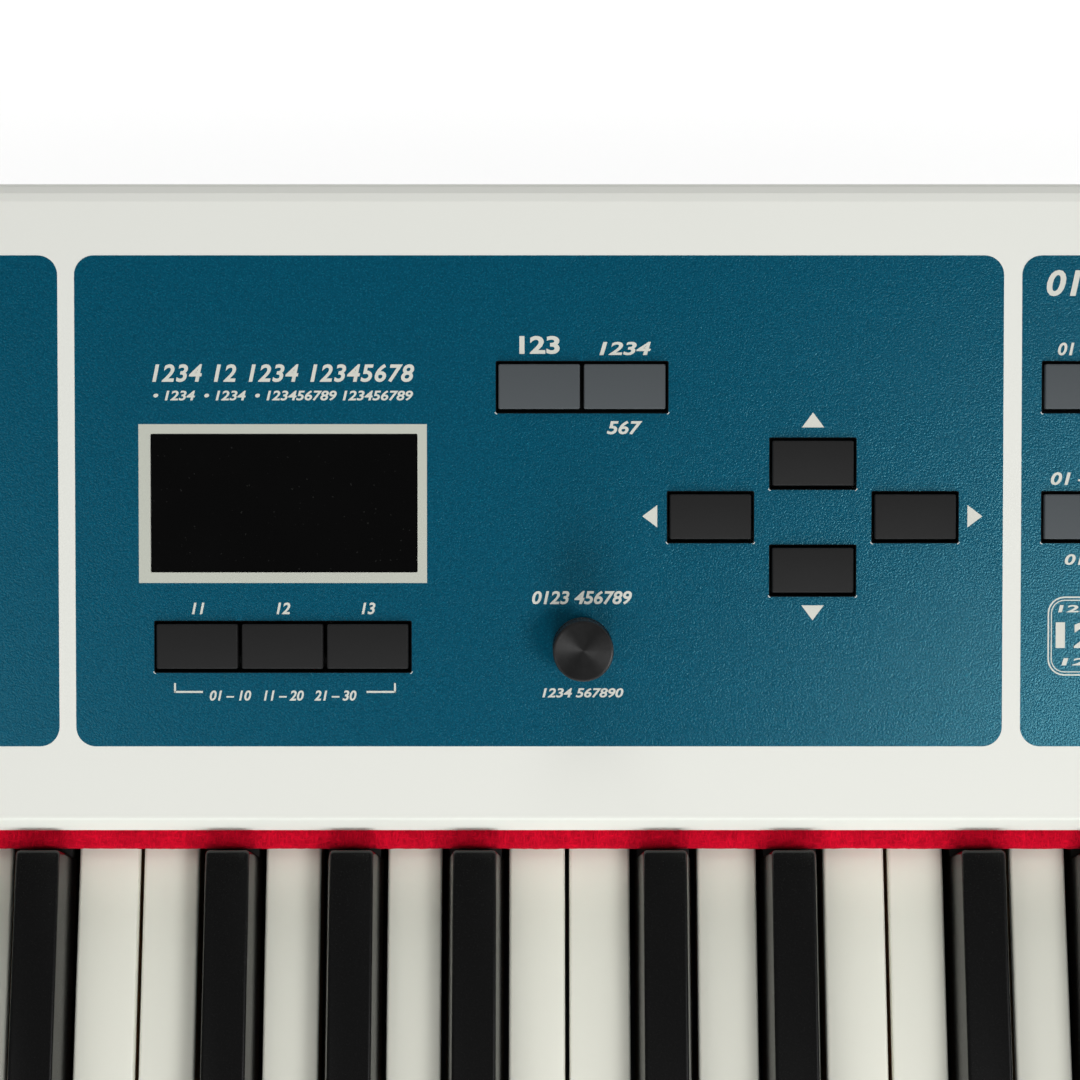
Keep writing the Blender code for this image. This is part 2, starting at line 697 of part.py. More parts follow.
def button_caps(name, spots, material, carrier=False):
    """A cap on a stem over its switch, or a row of them on one carrier."""
    cap_size = (*BUTTON_SIZE, BUTTON_RISE + BUTTON_SINK)
    caps = [block((x, y, (BUTTON_RISE - BUTTON_SINK) / 2), cap_size) for x, y in spots]
    stem_low = SWITCH_TOP + BUTTON_TRAVEL + SWITCH_CLEARANCE
    stem_high = -BUTTON_SINK + CARRIER_THICK / 2
    stem_size = (STEM_SIZE, STEM_SIZE, stem_high - stem_low)
    stems = [block((x, y, (stem_low + stem_high) / 2), stem_size) for x, y in spots]
    first = (*spots[0], 0)
    made = piece(name, boxes(*caps), material, first, PANEL)
    bevel(made, BUTTON_EDGE)
    combine(made, boxes(*stems), "UNION", PANEL)
    if carrier:
        half = Vector((CARRIER_WIDTH, CARRIER_WIDTH, CARRIER_THICK)) / 2
        low = Vector((*spots[0], -BUTTON_SINK)) - half
        high = Vector((*spots[-1], -BUTTON_SINK)) + half
        combine(made, boxes((low, high)), "UNION", PANEL)


def buttons():
    """Every button and the two grouped rows."""
    for name, spot in button_spots().items():
        grey = name.startswith(("menu", "sound", "memory"))
        button_caps(name, [spot], BUTTON_GREY if grey else BUTTON_BLACK)
    button_caps("sound_bank", bank_spots(ROW_HIGH), BUTTON_GREY, carrier=True)
    button_caps("memory_bank", bank_spots(ROW_MIDDLE), BUTTON_GREY, carrier=True)


def display():
    """The lens in its opening, over the display module of the board."""
    lens_size = (*(side - 2 * SEAT_GAP for side in SCREEN_SIZE), LENS_THICK)
    lens = block((*SCREEN_AT, LENS_LOW + LENS_THICK / 2), lens_size)
    piece("display_lens", boxes(lens), SCREEN_BLACK, (*SCREEN_AT, 0), PANEL)


def knob(name, spot, radius, height):
    """A turned knob with its shaft down to the control on the board."""
    low = POT_TOP + SEAT_GAP
    profile = [
        (0, height),
        (radius - KNOB_EDGE, height),
        (radius, height - KNOB_EDGE),
        (radius, KNOB_LIFT),
        (SHAFT_RADIUS, KNOB_LIFT),
        (SHAFT_RADIUS, low),
        (0, low),
    ]
    mesh = turned(profile)
    mesh.transform(Matrix.Translation((*spot, 0)))
    piece(name, mesh, KNOB_BLACK, (*spot, 0), PANEL)


def sliders():
    """Three slider caps on flat stems."""
    low = FADER_TOP + SEAT_GAP
    for number, x in enumerate(SLIDER_X, 1):
        cap = block((x, SLIDER_LOW, KNOB_LIFT + SLIDER_CAP[2] / 2), SLIDER_CAP)
        stem_high = KNOB_LIFT + KNOB_EDGE
        stem = block((x, SLIDER_LOW, (low + stem_high) / 2), (*SLIDER_STEM, stem_high - low))
        made = piece(f"slider_{number}", boxes(cap), KNOB_BLACK, (x, SLIDER_LOW, 0), PANEL)
        bevel(made, BUTTON_EDGE * 2)
        combine(made, boxes(stem), "UNION", PANEL)


def wheels():
    """The pitch and modulation wheels and the bracket whose axle carries them."""
    for name, x in zip(("pitch_wheel", "modulation_wheel"), WHEEL_X):
        ring = [
            (WHEEL_RADIUS, WHEEL_WIDTH / 2),
            (WHEEL_RADIUS, -WHEEL_WIDTH / 2),
            (WHEEL_BORE, -WHEEL_WIDTH / 2),
            (WHEEL_BORE, WHEEL_WIDTH / 2),
        ]
        mesh = turned(ring, 32)
        place = Matrix.Translation((x, WHEEL_AT, -WHEEL_SINK))
        mesh.transform(place @ Matrix.Rotation(math.pi / 2, 4, "Y"))
        wheel = piece(name, mesh, KNOB_BLACK, (x, WHEEL_AT, -WHEEL_SINK), PANEL)
        rim = WHEEL_RADIUS - WHEEL_SINK + THUMB_NOTCH / 2
        notch = [((x - WHEEL_WIDTH, WHEEL_AT, rim), (x + WHEEL_WIDTH, WHEEL_AT, rim))]
        combine(wheel, rods(notch, THUMB_NOTCH, 16), parent=PANEL)

    first, second = WHEEL_X
    half_pitch = (second - first) / 2
    walls = [first - half_pitch, first + half_pitch, second + half_pitch]
    floor = -WHEEL_SINK - WHEEL_RADIUS - BRACKET_FLOOR_GAP
    top = -SHEET - SEAT_GAP
    near, far = WHEEL_AT - BRACKET_DEPTH / 2, WHEEL_AT + BRACKET_DEPTH / 2
    half = BRACKET_WALL / 2
    profile = []
    for x in reversed(walls):
        profile += [(x + half, floor), (x + half, top), (x - half, top), (x - half, floor)]
    profile[0] = (walls[2] + half, floor - BRACKET_WALL)
    profile[-1] = (walls[0] - half, floor - BRACKET_WALL)
    mesh = outline(profile, -far, -near)
    mesh.transform(Matrix.Rotation(math.pi / 2, 4, "X"))
    bracket = piece("wheel_bracket", mesh, BRACKET_STEEL, (walls[1], WHEEL_AT, -WHEEL_SINK), PANEL)
    axle = [((walls[0], WHEEL_AT, -WHEEL_SINK), (walls[2], WHEEL_AT, -WHEEL_SINK))]
    combine(bracket, rods(axle, WHEEL_AXLE, 16), "UNION", PANEL)


def panel_board():
    """The board under the panel with its switches, controls, display module and posts."""
    low = (BOARD_X[0], BOARD_SLOPE[0], -BOARD_DROP - BOARD_THICK)
    high = (BOARD_X[1], BOARD_SLOPE[1], -BOARD_DROP)
    board = piece("panel_board", boxes((low, high)), BOARD_GREEN, parent=PANEL)
    root = -BOARD_DROP - BOARD_THICK / 2
    spots = [*button_spots().values(), *bank_spots(ROW_HIGH), *bank_spots(ROW_MIDDLE)]
    switch_size = (SWITCH_SIZE, SWITCH_SIZE, SWITCH_TOP - root)
    parts = [block((x, y, (root + SWITCH_TOP) / 2), switch_size) for x, y in spots]
    for x, y in (DATA_AT, VOLUME_AT):
        parts.append(block((x, y, (root + POT_TOP) / 2), (POT_SIZE, POT_SIZE, POT_TOP - root)))
    for x in SLIDER_X:
        middle = (x, SLIDER_LOW + SLIDER_TRAVEL / 2, (root + FADER_TOP) / 2)
        parts.append(block(middle, (*FADER_SIZE[:2], FADER_TOP - root)))
    module_size = (*(side + 2 * MODULE_BORDER for side in SCREEN_SIZE), MODULE_TOP - root)
    parts.append(block((*SCREEN_AT, (root + MODULE_TOP) / 2), module_size))
    combine(board, boxes(*parts), "UNION", PANEL)
    inset = 2 * POST_RADIUS
    rows = (BOARD_SLOPE[0] + inset, BOARD_SLOPE[1] - inset)
    posts = [((x, y, root), (x, y, -SHEET - SEAT_GAP)) for x in BOARD_POSTS_X for y in rows]
    combine(board, rods(posts, POST_RADIUS, 8), "UNION", PANEL)


def key_frame():
    """The folded bed under the keys: front rail, floor and the ridge that carries the pivots."""
    rail = KEY_FRONT + RAIL_SETBACK
    rail_top = WHITE_LOW - (PIVOT_Y - rail) * math.tan(DIP_ANGLE) - SEAT_GAP
    crest = WHITE_LOW - SEAT_GAP
    bed = FLOOR + FRAME_SHEET
    corners = [
        (rail - FRAME_FLANGE, bed, 0),
        (rail, bed, 0),
        (rail, rail_top, 0),
        (rail + RAIL_WIDTH, rail_top, 0),
        (rail + RAIL_WIDTH, bed, 0),
        (PIVOT_Y - RIDGE_WIDTH / 2, bed, 0),
        (PIVOT_Y - RIDGE_WIDTH / 2, crest - RIDGE_STEP, 0),
        (PIVOT_Y - RIDGE_NOSE / 2, crest, 0),
        (PIVOT_Y + RIDGE_NOSE / 2, crest, 0),
        (PIVOT_Y + RIDGE_WIDTH / 2, crest - RIDGE_STEP, 0),
        (PIVOT_Y + RIDGE_WIDTH / 2, bed, 0),
        (KEY_END, bed, 0),
    ]
    section = [corner[:2] for corner in corners + inward(corners, FRAME_SHEET)[::-1]]
    piece("key_frame", outline(section, -SPAN, SPAN, across=True), FRAME_METAL)


def socket_block(name, middle_x, width, *sockets):
    """A connector block that stands on the tray, its face flush with the rear panel."""
    low = (middle_x - width / 2, REAR_FACE - BLOCK_DEPTH, FLOOR)
    high = (middle_x + width / 2, REAR_FACE, FLOOR + BLOCK_HEIGHT)
    made = piece(name, boxes((low, high)), SOCKET_BLACK, (middle_x, REAR_FACE, FLOOR))
    for mesh in sockets:
        combine(made, mesh)


def bores(places, radius, deep, steps):
    """Round sockets of one size and depth at these places along the blocks."""
    mouth = REAR_FACE + SHEET
    return rods([((x, REAR_FACE - deep, SOCKET_Z), (x, mouth, SOCKET_Z)) for x in places], radius, steps)


def cavity(x, size):
    """The low and high corners of a square-cornered socket of this width, height and depth."""
    wide, tall, deep = size
    mouth = REAR_FACE + SHEET
    return block((x, (mouth + REAR_FACE - deep) / 2, SOCKET_Z), (wide, mouth - REAR_FACE + deep, tall))


def row_spots(middle, pitch, count):
    """X of each socket of a row."""
    return [middle + (number - (count - 1) / 2) * pitch for number in range(count)]


def connectors():
    """Jacks, data sockets and the power inlet with its push switch."""
    jacks = bores(row_spots(JACK_X, JACK_PITCH, JACK_COUNT), JACK_RADIUS, JACK_DEEP, 12)
    socket_block("output_jacks", JACK_X, JACK_COUNT * JACK_PITCH, jacks)

    spots = row_spots(DATA_X, DATA_PITCH, DATA_COUNT)
    rounds = bores(spots[:2], DIN_RADIUS, DIN_DEEP, 16)
    flats = boxes(*(cavity(x, size) for x, size in zip(spots[2:], (PLUG_SLOT, PLUG_SQUARE))))
    socket_block("data_sockets", DATA_X, DATA_COUNT * DATA_PITCH, rounds, flats)

    socket = cavity(INLET_X + INLET_SOCKET_OFFSET, INLET_SOCKET)
    switch_x = INLET_X + POWER_OFFSET
    wide, tall = (side + 2 * POWER_GAP for side in POWER_SIZE)
    bay = cavity(switch_x, (wide, tall, POWER_LENGTH + POWER_TRAVEL + POWER_GAP))
    socket_block("power_inlet", INLET_X, INLET_WIDTH, boxes(socket, bay))
    cap_middle = (switch_x, REAR_FACE + (POWER_RISE - POWER_LENGTH) / 2, SOCKET_Z)
    cap = block(cap_middle, (POWER_SIZE[0], POWER_LENGTH + POWER_RISE, POWER_SIZE[1]))
    switch = piece("power_switch", boxes(cap), BUTTON_BLACK, (switch_x, REAR_FACE, SOCKET_Z))
    bevel(switch, BUTTON_EDGE)


def rear_panel():
    """The rear sheets: one beside each end of the connector blocks and one over them."""
    top = PANEL_REAR_Z - SHEET / math.cos(PANEL_SLOPE) - REAR_ROUND
    over = FLOOR + BLOCK_HEIGHT + SEAT_GAP
    near, far = REAR_FACE - SHEET, REAR_FACE
    left, right = BLOCK_LEFT - SEAT_GAP, BLOCK_RIGHT + SEAT_GAP
    piece("rear_panel_left", boxes(((-SPAN, near, FLOOR), (left, far, top))), PANEL_WHITE)
    piece("rear_panel_right", boxes(((right, near, FLOOR), (SPAN, far, top))), PANEL_WHITE)
    middle = ((left + SEAT_GAP, near, over), (right - SEAT_GAP, far, top))
    piece("rear_panel_middle", boxes(middle), PANEL_WHITE)


def main_board():
    """The board over the connector blocks, on posts beside them."""
    rear = REAR_FACE - SHEET - SEAT_GAP
    low_z = FLOOR + BLOCK_HEIGHT + SEAT_GAP
    low = (BLOCK_LEFT - MAIN_BOARD_REACH, rear - MAIN_BOARD_DEPTH, low_z)
    high = (BLOCK_RIGHT + MAIN_BOARD_REACH, rear, low_z + BOARD_THICK)
    board = piece("main_board", boxes((low, high)), BOARD_GREEN)
    inset = 2 * POST_RADIUS
    xs = (low[0] + inset, high[0] - inset)
    ys = (rear - MAIN_BOARD_DEPTH + inset, rear - inset)
    posts = [((x, y, FLOOR), (x, y, low_z + BOARD_THICK / 2)) for x in xs for y in ys]
    combine(board, rods(posts, POST_RADIUS, 8), "UNION")


keyboard()
case()
top_panel()
buttons()
display()
knob("data_knob", DATA_AT, DATA_RADIUS, DATA_HEIGHT)
knob("volume_knob", VOLUME_AT, VOLUME_RADIUS, VOLUME_HEIGHT)
sliders()
wheels()
panel_board()
key_frame()
connectors()
rear_panel()
main_board()
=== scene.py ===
import math

import bmesh
import bpy
from mathutils import Matrix, Vector, noise


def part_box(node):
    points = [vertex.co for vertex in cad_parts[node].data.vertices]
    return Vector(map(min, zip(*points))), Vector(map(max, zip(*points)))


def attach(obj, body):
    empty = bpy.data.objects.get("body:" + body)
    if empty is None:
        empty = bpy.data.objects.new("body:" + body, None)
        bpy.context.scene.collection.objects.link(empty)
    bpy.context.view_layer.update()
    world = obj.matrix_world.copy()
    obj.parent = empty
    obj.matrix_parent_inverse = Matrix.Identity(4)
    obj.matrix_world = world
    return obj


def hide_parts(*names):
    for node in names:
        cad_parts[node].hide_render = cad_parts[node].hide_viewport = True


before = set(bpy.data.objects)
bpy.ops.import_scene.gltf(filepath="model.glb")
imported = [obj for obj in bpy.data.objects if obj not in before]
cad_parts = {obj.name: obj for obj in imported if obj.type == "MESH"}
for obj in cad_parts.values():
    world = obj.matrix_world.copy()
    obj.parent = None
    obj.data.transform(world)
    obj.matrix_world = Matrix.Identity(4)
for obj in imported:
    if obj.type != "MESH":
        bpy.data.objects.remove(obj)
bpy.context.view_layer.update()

# Lengths in metres, in the piano's own frame. Places on the control panel are (along X, up the slope, out).
IDENTITY = Matrix.Identity(4)
PANEL_TILT = Matrix.Rotation(math.radians(15), 4, "X")
PANEL = Matrix.Translation((0, 0.0212, 0.099)) @ PANEL_TILT

KEY_PITCH, KEY_GAP, WHITE_COUNT = 0.02357, 0.001, 52
BLOCK_EDGE = WHITE_COUNT * KEY_PITCH / 2
KEY_FRONT, KEY_END = -0.1325, 0.1082
KEY_LOW, KEY_TOP = 0.055, 0.075
COVER_LOW = KEY_TOP - 0.0026
HEAD_END = KEY_FRONT + 0.05
NOTCH_WIDTH = 0.0149
PLATE_SETBACK, PLATE_THICK = 0.0003, 0.002
STICK_INSET, BLACK_STICK_INSET = 0.00045, 0.0006
BLACK_FRONT, BLACK_REAR = HEAD_END + 0.0015, 0.0165
BLACK_WIDTH, BLACK_TOP_WIDTH = 0.0127, 0.0095
BLACK_LOW, BLACK_TOP = KEY_TOP - 0.004, KEY_TOP + 0.012
BLACK_SLANT, BLACK_REAR_SLANT = 0.004, 0.0004
BLACK_SHIFT = {"C": -0.00225, "D": 0.00225, "F": -0.0035, "G": 0, "A": 0.0033}
SINGLE_KEYS = (19, 25)
KEY_GROUPS = ((0, 8), (9, 18), (26, 29), (30, 36), (37, 43), (44, 51))

FELT_FRONT, FELT_REAR, FELT_LOW, FELT_TOP = 0.0175, 0.0292, 0.0773, 0.08
FELT_STEPS, FELT_UNEVEN_REAR = 1400, 0.0195
SPAN = 0.6134

BUTTON_SIZE, BUTTON_MARGIN = (0.0174, 0.00955), (0.0006, 0.00078)
BUTTON_PITCH, BUTTON_RISE, BUTTON_SINK = 0.01825, 0.0012, 0.0031
CAP_SHIFT = (-0.00005, 0.00012)
STEM_HALF, STEM_END = 0.002, -0.0072
ROW_HIGH, ROW_MIDDLE, ROW_LOW = 0.0927, 0.0649, 0.0371
FUNCTION_ROW = [(-0.1318 + step * BUTTON_PITCH, ROW_LOW) for step in (-1, 0, 1)]
MENU_ROW = [(-0.0677 + step * BUTTON_PITCH, ROW_HIGH) for step in (-0.5, 0.5)]
ARROWS = {
    "up_button": (-0.0183, ROW_MIDDLE + 0.01145),
    "down_button": (-0.0183, ROW_MIDDLE - 0.01145),
    "left_button": (-0.0183 - 0.0219, ROW_MIDDLE),
    "right_button": (-0.0183 + 0.0219, ROW_MIDDLE),
}
SOUND_ROW = [(0.0399 + step * BUTTON_PITCH, ROW_HIGH) for step in range(8)]
MEMORY_ROW = [(0.0399 + step * BUTTON_PITCH, ROW_MIDDLE) for step in range(8)]

SCREEN = (-0.1601, 0.05305, -0.1029, 0.08275)
SCREEN_FRAME = (-0.1626, 0.0508, -0.1009, 0.0848)
DATA_KNOB, VOLUME_KNOB = (-0.0676, ROW_LOW), (-0.39, 0.068)
VOLUME_ZERO, VOLUME_STEP = math.radians(240), math.radians(30)
KNOB_OPENING = 0.0036
SLIDERS = (-0.33, -0.29, -0.25)
SLIDER_LOW, SLIDER_TRAVEL = 0.048, 0.04
WHEELS = (-0.585, -0.56)
WHEEL_AT, WHEEL_RADIUS, WHEEL_SINK, WHEEL_WIDTH = 0.075, 0.022, 0.0135, 0.012

FIGURE_SHARE = 0.71  # A figure's height as a share of the font's size
PRINT_THICK = 0.00004
PRINT_LEVELS = (-0.00001, PRINT_THICK)
MARK_LEVELS = (PRINT_THICK - 0.00001, PRINT_THICK + 0.00002)
BLOCKS = {
    "wheel_block": (-0.606, 0.0157, -0.539, 0.1208),
    "left_block": (-0.5351, 0.0157, -0.1798, 0.1208),
    "main_block": (-0.1762, 0.0157, 0.0224, 0.1208),
    "right_block": (0.0263, 0.0157, 0.196, 0.1208),
}
BLOCK_CORNER = 0.0042
# Rows of print: numbers, X, Y, height, width and, where they differ, lean, weight and spacing.
MAIN_NUMBERS = (
    ("1234 12 1234 12345678", -0.1316, 0.0955, 0.0036, 0.056, 0.2, 0.035, 1.1),
    ("• 1234  • 1234  • 123456789 123456789", -0.1316, 0.0908, 0.002, 0.0555),
    ("01 – 10   11 – 20   21 – 30", -0.1318, 0.0265, 0.0021, 0.0315),
    ("123", -0.0768, 0.1015, 0.0036, 0.0086, 0, 0.045),
    ("1234", -0.0585, 0.1008, 0.0027, 0.011),
    ("567", -0.0586, 0.0839, 0.0027, 0.0076),
    ("0123 456789", -0.0677, 0.0475, 0.0027, 0.0214),
    ("1234 567890", -0.0675, 0.0271, 0.0019, 0.0174),
)
RIGHT_NUMBERS = (
    ("0123456", 0.0456, 0.1146, 0.0053, 0.0282),
    ("0123", 0.0402, 0.0557, 0.0022, 0.009),
    ("12345678", 0.0446, 0.0452, 0.0015, 0.0205, 0.1),
    ("1234", 0.0446, 0.0393, 0.0052, 0.0215, 0, 0.05),
    ("123456", 0.0446, 0.0338, 0.0015, 0.019, 0.1),
)
BRACKET_LINE, BRACKET_TOP, BRACKET_THICK = 0.0272, 0.0293, 0.00042
ARROW_HALF, ARROW_TALL = 0.0024, 0.0032
# The arrow marks: X, Y and turn in degrees.
ARROW_MARKS = (
    (-0.0183, 0.0841, 0),
    (-0.0183, 0.046, 180),
    (-0.0516, ROW_MIDDLE + 0.0002, 90),
    (0.0148, ROW_MIDDLE + 0.0002, -90),
)
BADGE, BADGE_CORNER = (0.0321, 0.0309, 0.0571, 0.0479), 0.0036

REAR_FACE, SOCKET_Z, SOCKET_PITCH = 0.1522, 0.0303, 0.024
JACKS = [-0.18 + (step - 1.5) * SOCKET_PITCH for step in range(4)]
DATA_SOCKETS = [-0.0837 + (step - 1.5) * SOCKET_PITCH for step in range(4)]
INLET_X, SWITCH_X = -0.0164, 0.0126
FEET = [(x, y) for x in (-0.56052, 0.56052) for y in (-0.114, 0.114)]

# Lamps: name, place, aim, side of its square and power in watts.
LAMPS = (
    ("main_softbox", (0.43, -0.5, 1.2), (0, 0.05, 0.1), 0.34, 6.2),
    ("low_softbox", (0, -1.35, 0.5), (0, 0, 0.09), 0.75, 14.4),
    ("right_softbox", (1.05, -0.2, 1.1), (0, 0.04, 0.1), 0.6, 1.6),
    ("left_softbox", (-0.64, -0.57, 1.24), (-0.1, 0.04, 0.1), 0.5, 2),
    ("rear_softbox", (-0.2, 1.8, 1.1), (0, 0.15, 0.1), 1.8, 21),
    ("left_fill", (-2.00, -0.6, 0.5), (-0.5, 0, 0.1), 0.6, 4),
    ("right_fill", (2.00, -0.6, 0.5), (0.5, 0, 0.1), 0.6, 3),
)

# Materials

MICRON, RING_WAVES = 0.000001, 42000
MOST_NOISE = (0.3, 0.7)
WHITE = (1, 1, 1, 1)


def colour(red, green, blue):
    """A display colour of 0 to 255 as linear values."""
    shares = (value / 255 for value in (red, green, blue))
    linear = (share / 12.92 if share <= 0.04045 else ((share + 0.055) / 1.055) ** 2.4 for share in shares)
    return (*linear, 1)


def shaded(base, factor):
    """A linear colour made darker or lighter."""
    return (*(min(1, value * factor) for value in base[:3]), 1)


def fill(node, inputs):
    """Sets or links a node's inputs."""
    for key, value in inputs.items():
        if isinstance(value, bpy.types.NodeSocket):
            node.id_data.links.new(value, node.inputs[key])
        else:
            node.inputs[key].default_value = value


def add_node(tree, kind, inputs=None, **settings):
    node = tree.nodes.new("ShaderNode" + kind)
    for key, value in settings.items():
        setattr(node, key, value)
    fill(node, inputs or {})
    return node


def maths(tree, operation, *values):
    """A number worked out of others."""
    return add_node(tree, "Math", dict(enumerate(values)), operation=operation).outputs[0]


def vector_maths(tree, operation, *values):
    """A vector worked out of others."""
    return add_node(tree, "VectorMath", dict(enumerate(values)), operation=operation).outputs[0]


def length_of(tree, vector):
    return add_node(tree, "VectorMath", {0: vector}, operation="LENGTH").outputs["Value"]


def mapped(tree, value, low, high, to_low=0, to_high=1):
    """A value moved to another range."""
    limits = {"From Min": low, "From Max": high, "To Min": to_low, "To Max": to_high}
    return add_node(tree, "MapRange", {"Value": value, **limits}).outputs["Result"]


def blended(tree, share, dark, light):
    """A colour between two, by a share."""
    return add_node(tree, "Mix", {"Factor": share, "A": dark, "B": light}, data_type="RGBA").outputs["Result"]


def bumped(tree, height, microns, strength=1):
    """A normal from a height."""
    inputs = {"Height": height, "Distance": microns * MICRON, "Strength": strength}
    return add_node(tree, "Bump", inputs).outputs["Normal"]


def object_place(tree):
    return add_node(tree, "TexCoord").outputs["Object"]


def noise_of(tree, place, scale, detail, **more):
    inputs = {"Vector": place, "Scale": scale, "Detail": detail, **more}
    return add_node(tree, "TexNoise", inputs).outputs["Fac"]


def start_group(name, **inputs):
    group = bpy.data.node_groups.new(name, "ShaderNodeTree")
    for label, value in inputs.items():
        socket = group.interface.new_socket(label, in_out="INPUT", socket_type="NodeSocketFloat")
        socket.default_value = value
    return group, group.nodes.new("NodeGroupInput").outputs


def end_group(group, **results):
    for label in results:
        group.interface.new_socket(label, in_out="OUTPUT", socket_type="NodeSocketFloat")
    fill(group.nodes.new("NodeGroupOutput"), results)
    return group


def grain_group():
    """Fine grain, a slow drift of tone and a mask of small spots, used for dust and for painted glints."""
    group, given = start_group("fine_grain", Grain=1500, Detail=3, Drift=12, Specks=900)
    place = object_place(group)
    return end_group(
        group,
        Height=noise_of(group, place, given["Grain"], given["Detail"], Roughness=0.65),
        Tone=noise_of(group, place, given["Drift"], 3),
        Speck=mapped(group, noise_of(group, place, given["Specks"], 1), 0.62, 0.78),
    )


def fibre_group():
    """Matted wool of crossed short fibres."""
    group, given = start_group("matted_fibres", Fibre=1500, Patch=160)
    place = object_place(group)
    layers = []
    for turn, squeeze in ((0.5, (1, 0.22, 1)), (-0.9, (0.3, 1, 1)), (2.1, (1, 0.35, 0.8))):
        laid = add_node(group, "Mapping", {"Vector": place, "Rotation": (0.2, 0.1, turn), "Scale": squeeze})
        layers.append(noise_of(group, laid.outputs["Vector"], given["Fibre"], 2, Distortion=1.2))
    height = maths(group, "MAXIMUM", maths(group, "MAXIMUM", layers[0], layers[1]), layers[2])
    patches = mapped(group, noise_of(group, place, given["Patch"], 3), 0, 1, 0.38, 0.62)
    return end_group(group, Height=height, Tone=maths(group, "MULTIPLY", height, patches))


def streak_group():
    """Streaks along Y, as in wood or rolled sheet."""
    group, given = start_group("long_streaks", Across=900, Along=25)
    stretch = add_node(group, "CombineXYZ", {"X": given["Across"], "Y": given["Along"], "Z": given["Across"]})
    scaled = vector_maths(group, "MULTIPLY", object_place(group), stretch.outputs[0])
    return end_group(group, Height=noise_of(group, scaled, 1, 4), Tone=noise_of(group, scaled, 0.15, 2))


FINE_GRAIN = grain_group()
MATTED_FIBRES = fibre_group()
LONG_STREAKS = streak_group()


def start_material(name):
    """A new material, its nodes and its shader."""
    made = bpy.data.materials.new(name)
    made.use_nodes = True
    return made, made.node_tree, made.node_tree.nodes["Principled BSDF"]


def effect_of(tree, group, **inputs):
    return add_node(tree, "Group", inputs, node_tree=group).outputs


def moulded(
    name, rgb, rough, grain, microns, drift, spread=0.05, detail=3, painted_peel_shading=0, painted_glint_colour=None, gloss=0.5, tint=WHITE
):
    """Plastic, paint or rubber with fine grain and, if asked, painted shade and light that follow the grain's
    height, and painted glints.
    """
    made, tree, shader = start_material(name)
    effect = effect_of(tree, FINE_GRAIN, Grain=grain, Detail=detail, Specks=grain * 1.9)
    height = effect["Height"]
    base = blended(tree, effect["Tone"], shaded(colour(*rgb), 1 - drift), shaded(colour(*rgb), 1 + drift))
    # Painted shade and light on the relief: darker where the grain is low, lighter where it is high.
    if painted_peel_shading:
        base = vector_maths(tree, "MULTIPLY", base, mapped(tree, height, *MOST_NOISE, 1 - painted_peel_shading, 1 + painted_peel_shading))
    # Painted glints: small spots of a lighter colour.
    if painted_glint_colour:
        base = blended(tree, maths(tree, "MULTIPLY", effect["Speck"], 0.5), base, colour(*painted_glint_colour))
    fill(shader, {
        "Base Color": base,
        "Roughness": mapped(tree, height, *MOST_NOISE, rough - spread, rough + spread),
        "Normal": bumped(tree, height, microns),
        "Specular IOR Level": gloss,
        "Specular Tint": tint,
    })
    return made


def panel_and_lip_coat():
    """The panel's powder-coated white, with painted light making the lip's front lighter and painted shade
    darkening its bend.
    """
    # The lip's front gets a lighter white than the panel: painted light.
    made = moulded("panel_and_lip_coat", (240, 244, 236), 0.7, 1300, 10, 0.015, gloss=0.15)
    tree = made.node_tree
    shader = tree.nodes["Principled BSDF"]
    base = shader.inputs["Base Color"].links[0].from_socket
    lip_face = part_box("top_panel")[0][1]
    place = add_node(tree, "SeparateXYZ", {0: object_place(tree)})
    lip_light_and_bend_shade = add_node(tree, "ValToRGB", {"Fac": mapped(tree, place.outputs["Y"], lip_face, lip_face + 0.0012)})
    steps = lip_light_and_bend_shade.color_ramp.elements
    # Painted light on the lip's front, painted shade darkening the bend, then the panel's own colour.
    steps[0].color, steps[1].color = WHITE, (0.936, 0.909, 0.914, 1)
    steps.new(0.3).color = (0.84, 0.82, 0.82, 1)
    fill(shader, {"Base Color": vector_maths(tree, "MULTIPLY", base, lip_light_and_bend_shade.outputs["Color"])})
    return made


def rolled_metal(name, rgb, rough, across=1500, along=30):
    """Sheet or turned metal with fine streaks."""
    made, tree, shader = start_material(name)
    effect = effect_of(tree, LONG_STREAKS, Across=across, Along=along)
    fill(shader, {
        "Base Color": blended(tree, effect["Tone"], shaded(colour(*rgb), 0.8), colour(*rgb)),
        "Roughness": mapped(tree, effect["Height"], 0, 1, rough - 0.1, rough + 0.15),
        "Normal": bumped(tree, effect["Height"], 4),
        "Metallic": 1,
    })
    return made


def felt_material():
    made, tree, shader = start_material("red_felt")
    effect = effect_of(tree, MATTED_FIBRES)
    share = mapped(tree, effect["Tone"], 0.2, 0.42)
    fill(shader, {
        "Base Color": blended(tree, share, colour(158, 3, 28), colour(231, 11, 47)),
        "Normal": bumped(tree, effect["Height"], 250, 0.9),
        "Roughness": 0.95,
        "Specular IOR Level": 0.08,
        "Sheen Weight": 0.03,
        "Sheen Tint": (1, 0.3, 0.35, 1),
    })
    return made


def wood_material(name, dark, light):
    """Wood with its grain along Y."""
    made, tree, shader = start_material(name)
    effect = effect_of(tree, LONG_STREAKS, Across=1400, Along=40)
    share = mapped(tree, effect["Height"], *MOST_NOISE)
    fill(shader, {
        "Base Color": blended(tree, share, colour(*dark), colour(*light)),
        "Normal": bumped(tree, effect["Height"], 30),
        "Roughness": 0.7,
    })
    return made


